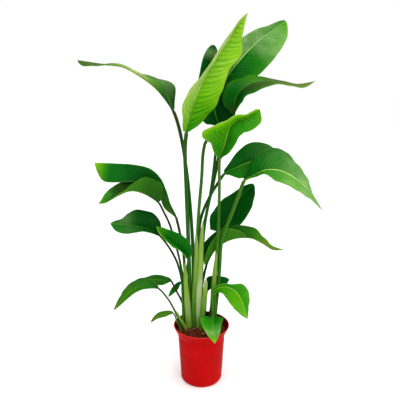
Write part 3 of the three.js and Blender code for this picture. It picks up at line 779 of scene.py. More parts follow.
# %% Low leaves
describe(
    "leaf_low_left_long",
    **SMALL,
    root=(-72, 8),
    stem=(4, 3),
    petiole=[(-92, 8, 248), (-119, 2, 306)],
    midrib=[
        (-153, -8, 353), (-180, -14, 365), (-211, -20, 366), (-242, -26, 352), (-273, -32, 323),
        (-309, -38, 280),
    ],
    half=([5, 14, 17, 17, 15, 10, 4], [5, 24, 30, 27, 20, 12, 4]),
    fold=([10, 0, 0], [10, 10]),
    face=[(-0.2, -0.6, 0.8), (-0.5, -0.6, 0.6)],
    rib=(8, 0.3),
    tone=([0.4, 0.42, 0.46, 0.46], [0.36, 0.4, 0.44, 0.46]),
    bloom=([0], [0, 0.05, 0]),
    dry=[0.1, 0.1, 0.2, 0.6],
    stem_tone=[0.3, 0.1],
    stem_dry=[0.2],
    rib_tone=[0.5, 0.5],
)
describe(
    "leaf_low_left_short",
    **SMALL,
    root=(-54, 47),
    stem=(4.5, 3.5),
    petiole=[(-71, 54, 269), (-94, 52, 318)],
    midrib=[(-111, 48, 356), (-143, 44, 361), (-182, 36, 367), (-221, 28, 371)],
    half=([5, 16, 22, 22, 16, 10, 4], [5, 14, 19, 19, 14, 8, 4]),
    fold=([0], [10]),
    face=[(0, -0.6, 0.8)],
    rib=(8, 0.3),
    tone=([0.38, 0.42], [0.36, 0.4]),
    dry=[0.1],
    stem_tone=[0.15, 0.1],
    stem_dry=[0.1],
    rib_tone=[0.5, 0.5],
)
describe(
    "leaf_low_rear",
    **SMALL,
    root=(-42, 54),
    stem=(3.5, 2.5),
    petiole=[(-58, 66, 272), (-62, 72, 313)],
    midrib=[(-75, 74, 338), (-94, 72, 318), (-125, 66, 282)],
    half=([4, 10, 13, 12, 10, 6, 2], [4, 10, 13, 12, 10, 6, 2]),
    fold=([15], [15]),
    face=[(-0.4, -0.7, 0.6)],
    wave=0,
    rib=(8, 0.2),
    tone=([0.35, 0.4], [0.35, 0.4]),
    stem_tone=[0.15],
    rib_tone=[0.5, 0.4],
)
describe(
    "leaf_small_left",
    **SMALL,
    root=(-73, -14),
    stem=(3.5, 2.5),
    petiole=[(-87, -16, 229)],
    midrib=[(-101, -20, 263), (-129, -26, 261), (-157, -30, 253), (-181, -34, 232)],
    half=([4, 9, 11, 11, 9, 6, 2], [4, 10, 13, 13, 10, 6, 2]),
    fold=([15], [15]),
    face=[(-0.2, -0.6, 0.8)],
    wave=0,
    rib=(8, 0.2),
    tone=([0.45, 0.5], [0.42, 0.46]),
    dry=[0.3, 0.3, 0.6],
    stem_tone=[0.5, 0.4],
    stem_dry=[0.2],
    rib_tone=[0.6, 0.6],
)
describe(
    "leaf_low_right",
    **SMALL,
    slot="young_leaf",
    root=(44, 28),
    stem=(5, 4),
    petiole=[(39, 22, 277)],
    midrib=[
        (41, 15, 325), (63, 10, 346), (93, 6, 350), (123, 0, 334), (143, -6, 302), (154, -12, 271),
        (165, -18, 236),
    ],
    half=([6, 12, 14, 40, 36, 20, 8], [8, 22, 48, 60, 54, 32, 8]),
    fold=([50, 45, 25, 8, 0], [20, 10, 5]),
    face=[(0.1, -0.7, 0.7), (0.4, -0.6, 0.6), (0.6, -0.6, 0.3)],
    wave=1.5,
    rib=(10, 0.5),
    tone=([0.5, 0.55, 0.6, 0.62], [0.58, 0.66, 0.7, 0.7]),
    edge_tone=(0.1, 0),
    bloom=([0, 0.05], [0, 0, 0, 0.25]),
    stem_tone=[0.55, 0.6],
    rib_tone=[0.85, 0.8],
)
describe(
    "leaf_over_rim",
    **SMALL,
    root=(26, 22),
    stem=(4.5, 3.5),
    petiole=[(38, -16, 250)],
    midrib=[(40, -50, 260), (39, -88, 258), (42, -108, 243), (45, -122, 203)],
    half=([20, 36, 32, 27, 20, 11, 3], [32, 46, 42, 36, 27, 15, 3]),
    fold=([10], [10]),
    face=[(0, -0.4, 0.9), (0, -0.6, 0.8), (0, -0.9, 0.4)],
    rib=(9, 0.4),
    tone=([0.46, 0.46, 0.55, 0.78], [0.48, 0.52, 0.6, 0.78]),
    edge_tone=(0.08, 0.14),
    bloom=([0, 0, 0, 0.15, 0.65, 0.15, 0], [0, 0, 0, 0.05, 0.6, 0.15, 0]),
    dry=[0, 0, 0, 0.2],
    stem_tone=[0.5, 0.5],
    rib_tone=[0.65, 0.7],
)
describe(
    "leaf_low_right_rear",
    **SMALL,
    root=(14, 68),
    stem=(4, 3),
    petiole=[(17, 70, 258)],
    midrib=[(23, 72, 309), (36, 72, 333), (56, 74, 347), (80, 76, 351), (106, 78, 349)],
    half=([6, 24, 28, 20, 12, 8, 4], [6, 12, 22, 28, 27, 23, 16]),
    fold=([15], [15]),
    face=[(0, -0.8, 0.5)],
    rib=(9, 0.3),
    tone=([0.25, 0.25], [0.25, 0.25]),
    stem_tone=[0.1],
    rib_tone=[0.4, 0.4],
)
print("leaves in all:", len(LEAVES))

# %% [markdown]
# ## How wide a blade is and how it bends
# A blade starts as a flat grid. Every vertex is then moved to its place: a row becomes one cross
# section, and its two halves rise from the midrib at their own fold, curling a little between midrib
# and margin. The half width comes from a cubic that never overshoots the widths it is given, so that
# a few numbers give a smooth margin.

# %% Half widths and bent strips
TIP_START = 0.86
TIP_POWER = 2.2


def width_at(keys, t, tip=1):
    """Half width at t, by a cubic that closes at the tip. With tip below 1 that end is rounder."""
    last = len(keys) - 1

    def slope(i):
        if i == 0:
            return keys[1] - keys[0]
        if i == last:
            return keys[last] - keys[last - 1]
        a, b = keys[i] - keys[i - 1], keys[i + 1] - keys[i]
        return 0.0 if a * b <= 0 else 2 * a * b / (a + b)

    i = min(int(t * last), last - 1)
    u = t * last - i
    value = keys[i] * (1 + 2 * u) * (1 - u) ** 2 + slope(i) * u * (1 - u) ** 2
    value += keys[i + 1] * u * u * (3 - 2 * u) + slope(i + 1) * u * u * (u - 1)
    past = max(0.0, (t - TIP_START) / (1 - TIP_START))
    return value * (1 - past**TIP_POWER) ** tip


def bent(width, start, bend, u):
    """How far out and how far up a strip reaches at u, when it bends evenly from its start angle."""
    end = start + bend * u
    out = width * (math.sin(end) - math.sin(start)) / bend
    up = width * (math.cos(start) - math.cos(end)) / bend
    return out, up


right_half = LEAVES["leaf_tall_back"]["half"][1]
print("widest right half in mm:", round(max(width_at(right_half, k / 100) for k in range(100))))

# %% [markdown]
# ## Pleats and ruffles
# The side veins leave the midrib at a slant and bend towards the tip, and the blade is softly
# pleated between them. A pleat is one hump of a sine wave whose phase wanders a little, so that no
# two are alike. Pleats fade at the midrib, at the margin and where the blade gets narrow. The margin
# has slow waves and closer ruffles, as a blade has where its edge grew longer than its middle.

# %% Pleats and ruffles
PLEAT_WIDTH = 25
PLEAT_WANDER = 0.5
PLEAT_ROUNDNESS = 0.7
CREASE_WIDTH = 0.3
RIDGE_WIDTH = 0.08
RIDGE_HIGHLIGHT_SHARE = 0.5
RUFFLE = 1.6
RUFFLE_WIDTH = 20


def pleat(leaf, vein, u, width):
    """Height of the pleats, and a number for painted light: 1 for painted shade in a crease, below 0 for
    a painted highlight on a ridge.
    """
    spacing, height = leaf["rib"]
    height *= min(1.0, width / PLEAT_WIDTH) ** 2
    wander = PLEAT_WANDER * noise.noise(Vector((vein / (2.5 * spacing), *leaf["root"])))
    wave = abs(math.sin(math.pi * (vein / spacing + wander)))
    uneven = 0.7 + 0.6 * noise.noise(Vector((vein / 40, u * 3, 7)))
    strength = smoothstep(4 * u) * (1 - u**4) * uneven
    crease = math.exp(-((wave / CREASE_WIDTH) ** 2))
    ridge = math.exp(-(((1 - wave) / RIDGE_WIDTH) ** 2))
    # Painted light: the crease gets painted shade and the ridge a painted highlight.
    line = crease - RIDGE_HIGHLIGHT_SHARE * ridge
    return height * wave**PLEAT_ROUNDNESS * strength, min(1.0, height) * strength * line


def ruffled(leaf, vein, t, u, half, width):
    """How far slow waves and ruffles lift the blade, most of all at its margin."""
    wave = leaf["wave"] * math.sin(4 * math.pi * t) * math.sin(math.pi * t) * u * u
    ruffle = RUFFLE * (1 - t) ** 0.5 * math.sin(vein / leaf["ruffle"] + 3 * half) * u**4
    ruffle *= min(1.0, width / RUFFLE_WIDTH)
    return wave + (ruffle if 0 < t < 1 else 0)


print("ruffles in mm: up to", RUFFLE, "high")

# %% [markdown]
# ## A blade
# With those helpers a blade is one loop over the vertices of its grid. It also fills in the numbers
# that the materials read. A Solidify modifier gives the thickness later, with the dull skin below.
# The blade stops 1.8 mm short of the end of its line, which keeps its thickness inside the CAD
# model's box. A stem starts in the soil at the height FOOT and comes out of it at COLLAR.

# %% Blade piece
FOOT = 174
COLLAR = 192
HALF_BEND = 16
TIP_INSET = 1.8
BLADE_THICKNESS = 1.2 * MM
SAME_PLACE = 0.02 * MM
VEIN_SLANT = 0.5
VEIN_CURVE = 0.5
BLADE_NUMBERS = ("tone", "vein", "crease", "from_rib", "from_edge", "bloom", "dry")


def leaf_lines(leaf):
    """The lines of the blade, of the petiole and of its foot in the soil, in millimetres."""
    x, y = leaf["root"]
    points = [(x, y, FOOT), (x, y, COLLAR), *leaf["petiole"], *leaf["midrib"]]
    base = len(points) - len(leaf["midrib"])
    return Track(points, base, len(points) - 1), Track(points, 1, base), Track(points, 0, 1)


def blade_row(leaf, blade, t):
    """Centre, upward and sideways directions, folds and half widths of one cross section."""
    along = blade.ahead(t)
    normal = across_line(eased(directions(leaf["face"]), t), along)
    side = along.cross(normal)
    folds = [math.radians(eased(fold, t)) for fold in leaf["fold"]]
    widths = [width_at(half, t, leaf["tip"]) for half in leaf["half"]]
    return blade.at(t * (1 - TIP_INSET / blade.total)), normal, side, folds, widths


def blade_piece(name, leaf):
    blade = leaf_lines(leaf)[0]
    rows, columns = leaf["grid"]
    bm = bmesh.new()
    bm.loops.layers.uv.new("UVMap")
    bmesh.ops.create_grid(bm, x_segments=columns, y_segments=rows, size=1.0, calc_uvs=True)
    layers = {key: bm.verts.layers.float.new(key) for key in BLADE_NUMBERS}
    bend = math.radians(2 * HALF_BEND)
    sections = {}
    for vert in bm.verts:
        t, x = (vert.co.y + 1) / 2, vert.co.x
        row = round(t, 5)
        if row not in sections:
            sections[row] = blade_row(leaf, blade, t)
        centre, normal, side, folds, widths = sections[row]
        half = 0 if x < 0 else 1
        outwards = 1 if half else -1
        u = abs(x)
        width, start = widths[half], folds[half] + bend / 2
        out, up = bent(width, start, -bend, u)
        vein = blade.total * t - VEIN_SLANT * width * u - VEIN_CURVE * width * u**3
        raised, crease = pleat(leaf, vein, u, width)
        lift = ruffled(leaf, vein, t, u, half, width) + raised
        slope = start - bend * u
        upper = normal * math.cos(slope) - side * (outwards * math.sin(slope))
        vert.co = (centre + side * (outwards * out) + normal * up + upper * lift) * MM
        vert[layers["tone"]] = eased(leaf["tone"][half], t) + leaf["edge_tone"][half] * u**3
        vert[layers["vein"]] = vein * MM
        vert[layers["crease"]] = crease
        vert[layers["from_rib"]] = width * u * MM
        vert[layers["from_edge"]] = width * (1 - u) * MM
        vert[layers["bloom"]] = eased(leaf["bloom"][half], t)
        vert[layers["dry"]] = eased(leaf["dry"], t)
    bmesh.ops.remove_doubles(bm, verts=bm.verts, dist=SAME_PLACE)
    return finish_mesh(bm, name, [blade_upper, blade_under, blade_margin])


longest = max(leaf_lines(leaf)[0].total for leaf in LEAVES.values())
print("longest blade in mm:", round(longest))

# %% [markdown]
# ## From bmesh to a placed piece
# Every piece ends the same way: its bmesh becomes an object at the origin with smooth shading and
# its materials, and it rides on the CAD model's one body. A helper does that, so no piece forgets it.

# %% Finish and place a piece
placed = []


def finish_mesh(bm, name, materials):
    mesh = bpy.data.meshes.new(name)
    for face in bm.faces:
        face.smooth = True
    bm.to_mesh(mesh)
    bm.free()
    for material in materials:
        mesh.materials.append(material)
    made = bpy.data.objects.new(name, mesh)
    bpy.context.scene.collection.objects.link(made)
    return made


def place(piece, slot, *nodes):
    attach(piece, "root")
    if nodes:
        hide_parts(*nodes)
    placed.append(piece)


def thicken(piece, thickness, under=1, rim=2):
    """Gives a sheet its thickness; under and rim say which of its materials the back and edge get."""
    solid = piece.modifiers.new("thickness", "SOLIDIFY")
    solid.thickness = thickness
    solid.offset = 0.0
    solid.material_offset = under
    solid.material_offset_rim = rim
    return piece


print("pieces placed before the first leaf:", len(placed))

# %% [markdown]
# ## The sections of a stalk
# A stalk is one tapering rod: round and thick in the soil, grooved along its upper side where the
# petiole is open, and thinning into the midrib that carries the blade to its tip. Its sections are
# placed along the line first. Working down from the blade keeps the groove on the blade's upper side.

# %% Sections of a stalk
UP = Vector((0, 0, 1))
GROOVE = 0.22
GROOVE_WIDTH = 0.5
RING_GAP = 22
PETIOLE_END = 0.985
RIB_END = 0.95
RIB_FADE = 1.3
RIB_PROUD = 0.4
RIB_WIDTH = 0.7
RIB_RISE = 0.35
RIB_DROP = 0.7
RIB_TONE_START = 0.15


def grooved(radius):
    """A round section with a groove along its upper side."""
    def shape(angle):
        dip = GROOVE * math.exp(-(((angle - math.pi / 2) / GROOVE_WIDTH) ** 2))
        reach = radius * (1 - dip)
        return reach * math.cos(angle), reach * math.sin(angle)
    return shape


def rib_section(width, rise, drop):
    """A rounded section of the midrib, wider than high, mostly below the blade."""
    def shape(angle):
        return width * math.cos(angle), (rise if math.sin(angle) > 0 else drop) * math.sin(angle)
    return shape


def petiole_stations(leaf, blade, stalk, foot):
    """Centre, directions, section, way along the stalk and share on the blade, from the foot up."""
    low, high = leaf["stem"]
    facing = across_line(eased(directions(leaf["face"]), 0.0), blade.ahead(0))
    stations = []
    steps = max(6, int(stalk.total / RING_GAP))
    for k in range(steps, -1, -1):
        t = k / steps * PETIOLE_END
        along = UP if k == 0 else stalk.ahead(t)
        facing = across_line(facing, along)
        section = grooved(low + (high - low) * t)
        stations.insert(0, (stalk.at(t), along.cross(facing), facing, section, t * stalk.total, 0.0))
    lowest = stations[0]
    stations.insert(0, (foot.at(0), lowest[1], lowest[2], grooved(low), FOOT - COLLAR, 0.0))
    return stations


def midrib_stations(leaf, blade, start):
    """The same for the midrib, which gets thinner and less proud towards the tip."""
    high = leaf["stem"][1]
    count = leaf["grid"][0] // 3
    stations = []
    for k in range(count):
        t = k / count * RIB_END
        centre, normal, side, _, _ = blade_row(leaf, blade, t)
        thin = (1 - t) ** RIB_FADE
        proud = BLADE_THICKNESS / MM / 2 + RIB_PROUD * (1 - t)
        rise = proud + RIB_RISE * high * thin
        drop = proud + RIB_DROP * high * thin
        section = rib_section(0.5 + RIB_WIDTH * high * thin, rise, drop)
        on_blade = RIB_TONE_START + (1 - RIB_TONE_START) * t
        stations.append((centre, side, normal, section, start + blade.total * t, on_blade))
    return stations


print("sections on the midrib of a large leaf:", COMMON["grid"][0] // 3)

# %% [markdown]
# ## Petiole and midrib
# Each section becomes a ring of edges, and neighbouring rings are bridged, which is how such a rod
# would be lofted by hand. The UV map holds metres round and along, so that the fibres in the
# material run along the stalk.

# %% Stalk piece
RING_SIDES = 16
SIDE_ARC = 2.0 * MM


def ring(bm, centre, side, normal, shape):
    """A closed loop of edges about a centre; shape gives (out, up) for each angle."""
    made = bmesh.ops.create_circle(bm, segments=RING_SIDES, radius=1.0)["verts"]
    for vert in made:
        out, up = shape(math.atan2(vert.co.y, vert.co.x))
        vert.co = (centre + side * out + normal * up) * MM
    return made


def unwrap(bm, rings, uv):
    """Lays the rod's faces out flat: one side of a ring after the other, and along by length."""
    reach_of = {vert: reach * MM for verts, reach in rings for vert in verts}
    side_of = {vert: k for verts, _ in rings for k, vert in enumerate(verts)}
    for face in bm.faces:
        sides = [side_of[loop.vert] for loop in face.loops]
        wraps = max(sides) - min(sides) > RING_SIDES / 2
        for loop, k in zip(face.loops, sides):
            if wraps and k < RING_SIDES / 2:
                k += RING_SIDES
            loop[uv].uv = (k * SIDE_ARC, reach_of[loop.vert])


def stalk_piece(name, leaf):
    blade, stalk, foot = leaf_lines(leaf)
    stations = petiole_stations(leaf, blade, stalk, foot) + midrib_stations(leaf, blade, stalk.total)
    bm = bmesh.new()
    tone = bm.verts.layers.float.new("tone")
    dry = bm.verts.layers.float.new("dry")
    uv = bm.loops.layers.uv.new("UVMap")
    rings = []
    for centre, side, normal, section, reach, on_blade in stations:
        verts = ring(bm, centre, side, normal, section)
        rings.append((verts, reach))
        climbed = max(reach, 0) / stalk.total
        base = eased(leaf["stem_tone"], climbed)
        for vert in verts:
            vert[tone] = eased([base, *leaf["rib_tone"]], on_blade) if on_blade else base
            vert[dry] = 0.0 if on_blade else eased(leaf["stem_dry"], climbed)
    for (a, _), (b, _) in zip(rings, rings[1:]):
        edges = [e for loop in (a, b) for v in loop for e in v.link_edges if e.other_vert(v) in loop]
        bmesh.ops.bridge_loops(bm, edges=list(dict.fromkeys(edges)))
    for verts in (rings[0][0], rings[-1][0]):
        bmesh.ops.contextual_create(bm, geom=verts)
    bmesh.ops.recalc_face_normals(bm, faces=bm.faces)
    unwrap(bm, rings, uv)
    return finish_mesh(bm, name, [stem_skin])


for name, leaf in LEAVES.items():
    blade = thicken(blade_piece(name + "_blade", leaf), BLADE_THICKNESS)
    place(blade, leaf["slot"], name)
    place(stalk_piece(name + "_stalk", leaf), leaf["slot"], name)
print("leaf pieces:", len(placed))

# %% [markdown]
# ## Sheaths
# The lowest part of each leaf is a sheath that wraps the stems inside it. They are open gutters that
# narrow to a point and dry from their edges inwards, so each is a grid again, bent back evenly from
# its front line to its edges. `half` is the half width from the foot to the point.

# %% Sheath shapes
# Each sheath's tone starts lower at its foot: partly its own colour, partly painted shade at the base of
# the clump.
SHEATHS = {
    "sheath_centre_short": dict(
        root=(-25, 10),
        front=[(-26, 10, 260), (-24, 10, 318), (-19, 10, 385), (-17, 10, 460), (-19, 10, 557)],
        half=[10, 11, 12, 12, 11, 8, 3],
        tone=[0.25, 0.25, 0.35, 0.5, 0.6, 0.75],
        dry=[0.4, 0.9, 0.9, 0.5, 0.1, 0],
    ),
    "sheath_centre_tall": dict(
        root=(-9, 2),
        front=[(-10, 3, 262), (-8, 4, 320), (-5, 4, 377), (-3, 5, 445), (0, 6, 526), (6, 6, 601)],
        half=[9, 11, 12, 11, 10, 8, 3],
        tone=[0.56, 0.78, 0.84, 0.62, 0.56, 0.78],
        dry=[0.1, 0.1, 0.3, 0.3, 0.1],
    ),
    "sheath_left": dict(
        root=(-46, 7),
        front=[(-49, 7, 260), (-55, 8, 350), (-60, 9, 445)],
        half=[13, 13, 13, 11, 9, 7, 3],
        tone=[0.5, 0.66, 0.56, 0.5],
        dry=[0.2, 0.1, 0],
    ),
    "sheath_right": dict(
        root=(43, 36),
        front=[(44, 32, 250), (44, 28, 330), (48, 22, 400), (54, 14, 480)],
        half=[13, 13, 12, 11, 9, 7, 3],
        tone=[0.12, 0.18, 0.5, 0.55],
        dry=[0.2, 0.6, 0.8],
    ),
    "sheath_small_right": dict(
        root=(-3, -7),
        front=[(5, -7, 250), (11, -5, 310), (17, 0, 388)],
        half=[8, 9, 9, 9, 9, 8, 4],
        tone=[0.3, 0.35, 0.45, 0.85],
        dry=[0.2, 0],
    ),
    "sheath_low_left": dict(
        root=(-56, -6),
        front=[(-73, -8, 226), (-91, -8, 266)],
        half=[7, 7, 7, 6, 5, 4, 2],
        tone=[0.45, 0.5, 0.5],
        dry=[0.1],
    ),
}
print("sheaths:", len(SHEATHS))

# %% Sheath pieces
SHEATH_CURL = math.radians(55)
SHEATH_THICKNESS = 1.4 * MM
SHEATH_GRID = (64, 16)


def sheath_piece(name, sheath):
    x, y = sheath["root"]
    points = [(x, y, FOOT), (x, y, COLLAR), *sheath["front"]]
    line = Track(points, 0, len(points) - 1)
    rows, columns = SHEATH_GRID
    bm = bmesh.new()
    uv = bm.loops.layers.uv.new("UVMap")
    bmesh.ops.create_grid(bm, x_segments=columns, y_segments=rows, size=1.0, calc_uvs=True)
    tone = bm.verts.layers.float.new("tone")
    dry = bm.verts.layers.float.new("dry")
    flat = {}
    for vert in bm.verts:
        t, x = (vert.co.y + 1) / 2, vert.co.x
        along = UP if t == 0 else line.ahead(t)
        normal = across_line(Vector((0, 1, 0)), along)
        side = along.cross(normal)
        width = width_at(sheath["half"], t)
        out, up = bent(width, 0.0, SHEATH_CURL, abs(x))
        flat[vert] = (x * width * MM, t * line.total * MM)
        vert.co = (line.at(t) + side * math.copysign(out, x) + normal * up) * MM
        near_edge = smoothstep(2.5 * abs(x) - 1.5)
        vert[tone] = eased(sheath["tone"], t)
        vert[dry] = eased(sheath["dry"], t) * near_edge
    for face in bm.faces:
        for loop in face.loops:
            loop[uv].uv = flat[loop.vert]
    bmesh.ops.remove_doubles(bm, verts=bm.verts, dist=SAME_PLACE)
    return finish_mesh(bm, name + "_skin", [sheath_skin])


for name, sheath in SHEATHS.items():
    place(thicken(sheath_piece(name, sheath), SHEATH_THICKNESS, under=0, rim=0), "sheath", name)
print("pieces so far:", len(placed))

# %% [markdown]
# ## The pot
# A nursery pot is a body of revolution: one wall drawn as a half outline and spun about the axis.
# The outline holds only the points that the shape needs, and the bevel operator rounds its lips and
# steps afterwards, as the radii of a mould do.

# %% Pot outline
_, pot_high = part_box("pot")
POT_HEIGHT = pot_high.z / MM
RIM_RADIUS = pot_high.x / MM
FOOT_RADIUS = 74
SHOULDER_RADIUS = 84
SHOULDER_HEIGHT = 176
WALL = 3
FOOT_BEVEL = 8
FOOT_HOLLOW = 1.5
HOLLOW_EDGE = 4
HOLLOW_SLOPE = 2
STEP_TOP = 158
STEP_BAND = 4
STEP_OUT = 0.4
STEP_SLOPE = 2
RIM_LIP = 4
LIP_ROUND = 1
FLARE_STEPS = (8, 20)


def wall_at(z):
    """Radius of the plain wall at a height."""
    return FOOT_RADIUS + (SHOULDER_RADIUS - FOOT_RADIUS) * z / SHOULDER_HEIGHT


def flare_at(z):
    """Radius of the flare, a straight slope from the shoulder to the lip."""
    share = (z - SHOULDER_HEIGHT) / (POT_HEIGHT - RIM_LIP - SHOULDER_HEIGHT)
    return SHOULDER_RADIUS + (RIM_RADIUS - LIP_ROUND - SHOULDER_RADIUS) * share


def pot_outline():
    """Half the pot's outline as (radius, height): up the outside, then down the inside."""
    flare = [SHOULDER_HEIGHT + rise for rise in FLARE_STEPS]
    foot_edge = FOOT_RADIUS - FOOT_BEVEL
    step_low = STEP_TOP - STEP_BAND
    outside = [
        (0, FOOT_HOLLOW),
        (foot_edge - HOLLOW_EDGE - HOLLOW_SLOPE, FOOT_HOLLOW),
        (foot_edge - HOLLOW_EDGE, 0),
        (foot_edge, 0),
        (FOOT_RADIUS - FOOT_BEVEL / 3, FOOT_BEVEL / 3),
        (wall_at(FOOT_BEVEL), FOOT_BEVEL),
        (wall_at(step_low - STEP_SLOPE), step_low - STEP_SLOPE),
        (wall_at(step_low) + STEP_OUT, step_low),
        (wall_at(STEP_TOP) + STEP_OUT, STEP_TOP),
        (wall_at(STEP_TOP + STEP_SLOPE), STEP_TOP + STEP_SLOPE),
        (SHOULDER_RADIUS, SHOULDER_HEIGHT),
        *[(flare_at(z), z) for z in flare],
        (RIM_RADIUS - LIP_ROUND, POT_HEIGHT - RIM_LIP),
        (RIM_RADIUS, POT_HEIGHT - RIM_LIP / 2),
        (RIM_RADIUS - LIP_ROUND, POT_HEIGHT),
    ]
    inside = [
        (RIM_RADIUS - WALL, POT_HEIGHT),
        *[(flare_at(z) - WALL, z) for z in reversed(flare)],
        (SHOULDER_RADIUS - WALL, SHOULDER_HEIGHT),
        (FOOT_RADIUS - WALL, WALL + FOOT_BEVEL),
        (0, WALL + FOOT_BEVEL),
    ]
    return outside + inside


print("points in the outline:", len(pot_outline()))

# %% Pot piece
POT_STEPS = 96
SAME_HEIGHT = 0.01 * MM
SHARP = math.radians(20)
BEVEL = 0.7 * MM
LIP_HIGHLIGHT_DEPTH = 2


def pot_piece():
    bm = bmesh.new()
    verts = [bm.verts.new((r * MM, 0, z * MM)) for r, z in pot_outline()]
    edges = [bm.edges.new(pair) for pair in zip(verts, verts[1:])]
    bmesh.ops.spin(
        bm,
        geom=verts + edges,
        cent=(0, 0, 0),
        axis=(0, 0, 1),
        angle=2 * math.pi,
        steps=POT_STEPS,
        use_merge=True,
    )
    bmesh.ops.remove_doubles(bm, verts=bm.verts, dist=SAME_HEIGHT)
    bmesh.ops.recalc_face_normals(bm, faces=bm.faces)
    sharp = [
        e
        for e in bm.edges
        if len(e.link_faces) == 2
        and e.calc_face_angle(0) > SHARP
        and abs(e.verts[0].co.z - e.verts[1].co.z) < SAME_HEIGHT
    ]
    bmesh.ops.bevel(
        bm, geom=sharp, offset=BEVEL, segments=3, profile=0.5, affect="EDGES", material=-1
    )
    for face in bm.faces:
        centre = face.calc_center_median()
        inward = -face.normal.dot(Vector((centre.x, centre.y, 0)).normalized())
        # Faces near the top of the lip get the paler red, a painted highlight.
        if centre.z > (POT_HEIGHT - LIP_HIGHLIGHT_DEPTH) * MM:
            face.material_index = 2
        # Faces that look inwards get the darker red, painted shade.
        elif inward > 0.5:
            face.material_index = 1
    return finish_mesh(bm, "pot_wall", [pot_plastic, pot_inside_painted_shade, pot_lip_painted_highlight])


place(pot_piece(), "pot", "pot")
print("pot height in mm:", round(POT_HEIGHT))

# %% [markdown]
# ## Soil, bark crumbs and perlite
# The top of the potting mix is an uneven crust, a grid bent into a disc and roughened by noise, with
# a skirt that goes down inside the wall. Bark crumbs and white perlite grains lie on it. Each grain
# is a very plain ball, squashed and turned at random from a fixed seed, so that every run is alike.

# %% Soil
SOIL_TOP = 190
SOIL_GAP = 0.8
SOIL_RADIUS = flare_at(SOIL_TOP) - WALL - SOIL_GAP
SOIL_DEPTH = 40
SKIRT_GAP = 4
SOIL_GRID = 110
LUMP_SIZE = 14
LUMP_HEIGHT = 2.2
LUMP_FRACTAL = (0.9, 2.2, 4)  # how soon finer lumps fade, how much finer each is, how many
MOUND_HEIGHT = 3.0
CRUST_DROP = 1.5


def soil_height(x, y):
    """Height of the crust over the soil line, in millimetres, for a place in millimetres."""
    lumps = noise.fractal(Vector((x / LUMP_SIZE, y / LUMP_SIZE, 0.5)), *LUMP_FRACTAL)
    mound = MOUND_HEIGHT * (1 - smoothstep(math.hypot(x, y) / SOIL_RADIUS))
    return mound + LUMP_HEIGHT * lumps - CRUST_DROP


def soil_piece():
    bm = bmesh.new()
    bmesh.ops.create_grid(bm, x_segments=SOIL_GRID, y_segments=SOIL_GRID, size=1.0)
    for vert in bm.verts:
        x, y = vert.co.x, vert.co.y
        disc = Vector((x * math.sqrt(1 - y * y / 2), y * math.sqrt(1 - x * x / 2), 0)) * SOIL_RADIUS
        disc.z = SOIL_TOP + soil_height(disc.x, disc.y)
        vert.co = disc * MM
    rim = [e for e in bm.edges if e.is_boundary]
    skirt = bmesh.ops.extrude_edge_only(bm, edges=rim)["geom"]
    shrink = (SHOULDER_RADIUS - WALL - SKIRT_GAP) / SOIL_RADIUS
    for vert in [v for v in skirt if isinstance(v, bmesh.types.BMVert)]:
        vert.co.z = (SOIL_TOP - SOIL_DEPTH) * MM
        vert.co.x *= shrink
        vert.co.y *= shrink
    bmesh.ops.contextual_create(bm, geom=[e for e in bm.edges if e.is_boundary])
    bmesh.ops.recalc_face_normals(bm, faces=bm.faces)
    return finish_mesh(bm, "soil_crust", [potting_mix])


place(soil_piece(), "soil", "soil")
print("soil radius in mm:", round(SOIL_RADIUS, 1))

# %% Bark crumbs and perlite grains
WALL_CLEARANCE = 4
GRAIN_SPANS = ((0.5, 1.0), (0.35, 0.8), (0.25, 0.5))
GRAIN_TILT = 0.5
GRAIN_LIFT = 0.15


def scattered(name, material, count, sizes, seed):
    """Small squashed grains that lie on the crust, clear of the stems."""
    draw = random.Random(seed)
    stems = [(*leaf["root"], leaf["stem"][0]) for leaf in LEAVES.values()]
    bm = bmesh.new()
    done = 0
    while done < count:
        angle = draw.uniform(0, 2 * math.pi)
        reach = (SOIL_RADIUS - WALL_CLEARANCE) * math.sqrt(draw.random())
        x, y = reach * math.cos(angle), reach * math.sin(angle)
        size = draw.uniform(*sizes)
        radii = [size * draw.uniform(*span) for span in GRAIN_SPANS]
        turn = Matrix.Rotation(draw.uniform(0, math.pi), 4, "Z")
        turn = turn @ Matrix.Rotation(draw.uniform(-GRAIN_TILT, GRAIN_TILT), 4, "X")
        if any(math.hypot(x - sx, y - sy) < r + size / 2 for sx, sy, r in stems):
            continue
        height = SOIL_TOP + soil_height(x, y) + GRAIN_LIFT * size
        move = Matrix.Translation(Vector((x, y, height)) * MM)
        squash = Matrix.Diagonal((*[radius * MM for radius in radii], 1.0))
        bmesh.ops.create_icosphere(bm, subdivisions=1, radius=1.0, matrix=move @ turn @ squash)
        done += 1
    return finish_mesh(bm, name, [material])


place(scattered("soil_bark_crumbs", bark_crumbs, 420, (2.0, 6.0), 11), "soil")
place(scattered("soil_perlite_grains", perlite, 16, (1.6, 2.8), 21), "soil")
print("pieces in all:", len(placed))

# %% [markdown]
# ## Camera, floor and light
# The camera stands where the photograph was taken from: almost a metre up, 1.42 m from the pot and
# tilted down by 12.6 degrees. The floor is a plain pale sheet. The light is that of a white studio
# tent: a bright ceiling, darker walls, one very wide lamp above and one weak fill in front. The wide
# lamp is a sun lamp 110 degrees across, so its light is the same all over, like that of a lit
# ceiling. The leaves are lit from above, their lower parts stay deep green, and the floor shows
# hardly a shadow.

# %% Camera
FOCAL_PX = 430.0
IMAGE_PX = 400.0
SENSOR = 36.0
CAMERA_TILT = 12.58
camera_data = bpy.data.cameras.new("camera")
camera_data.sensor_width = SENSOR
camera_data.lens = FOCAL_PX / IMAGE_PX * SENSOR
camera = bpy.data.objects.new("camera", camera_data)
camera.location = (-0.005, -1.42, 0.986)
camera.rotation_euler = (math.radians(90 - CAMERA_TILT), 0, 0)
bpy.context.scene.collection.objects.link(camera)
bpy.context.scene.camera = camera
print("lens in mm:", round(camera_data.lens, 1))

# %% Floor
FLOOR_HALF = 12.0


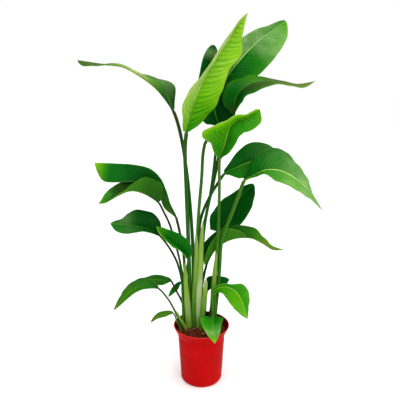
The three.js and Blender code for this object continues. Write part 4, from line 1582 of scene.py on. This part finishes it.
def pale_floor():
    material, tree, shader = surface("pale_matt_floor", Roughness=0.9, IOR=1.4)
    colour = ramp(tree, patches(tree, 0.4), [(0.3, "#f6f6f6"), (0.7, "#fafafa")])
    feed(tree, shader, Base_Color=colour)
    bm = bmesh.new()
    bmesh.ops.create_grid(bm, x_segments=1, y_segments=1, size=FLOOR_HALF)
    made = finish_mesh(bm, "floor", [material])
    return made


pale_floor()
print("floor width in metres:", 2 * FLOOR_HALF)

# %% Light
def lamp(name, kind, place_at, target, energy, **settings):
    """A lamp that looks from its place at a target."""
    data = bpy.data.lights.new(name, kind)
    data.energy = energy
    for setting, value in settings.items():
        setattr(data, setting, value)
    made = bpy.data.objects.new(name, data)
    made.location = place_at
    made.rotation_euler = (Vector(target) - Vector(place_at)).to_track_quat("-Z", "Y").to_euler()
    bpy.context.scene.collection.objects.link(made)


def studio_tent():
    world = bpy.data.worlds.new("studio_tent")
    world.use_nodes = True
    tree = world.node_tree
    tree.nodes.clear()
    direction = node(tree, "ShaderNodeTexCoord").outputs["Generated"]
    height = node(tree, "ShaderNodeSeparateXYZ", {"Vector": direction}).outputs["Z"]
    ceiling = ramp(tree, height, [(0.0, "#707070"), (0.3, "#7c7c7c"), (0.8, "#c8c8c8")])
    seen = node(tree, "ShaderNodeLightPath").outputs["Is Camera Ray"]
    light = node(tree, "ShaderNodeBackground", {"Color": ceiling, "Strength": 1.0})
    white = node(tree, "ShaderNodeBackground", {"Color": linear("#ffffff"), "Strength": 1.0})
    mix = node(
        tree,
        "ShaderNodeMixShader",
        {0: seen, 1: light.outputs["Background"], 2: white.outputs["Background"]},
    )
    node(tree, "ShaderNodeOutputWorld", {"Surface": mix.outputs["Shader"]})
    bpy.context.scene.world = world


studio_tent()
lamp("ceiling", "SUN", (0.4, -0.7, 2.4), (0, 0, 0), 3.3, angle=math.radians(110))
lamp("front_fill", "AREA", (0.8, -2.6, 1.6), (0, 0, 0.5), 14, shape="RECTANGLE", size=1.4, size_y=1.4)
bpy.context.scene.view_settings.view_transform = "Standard"
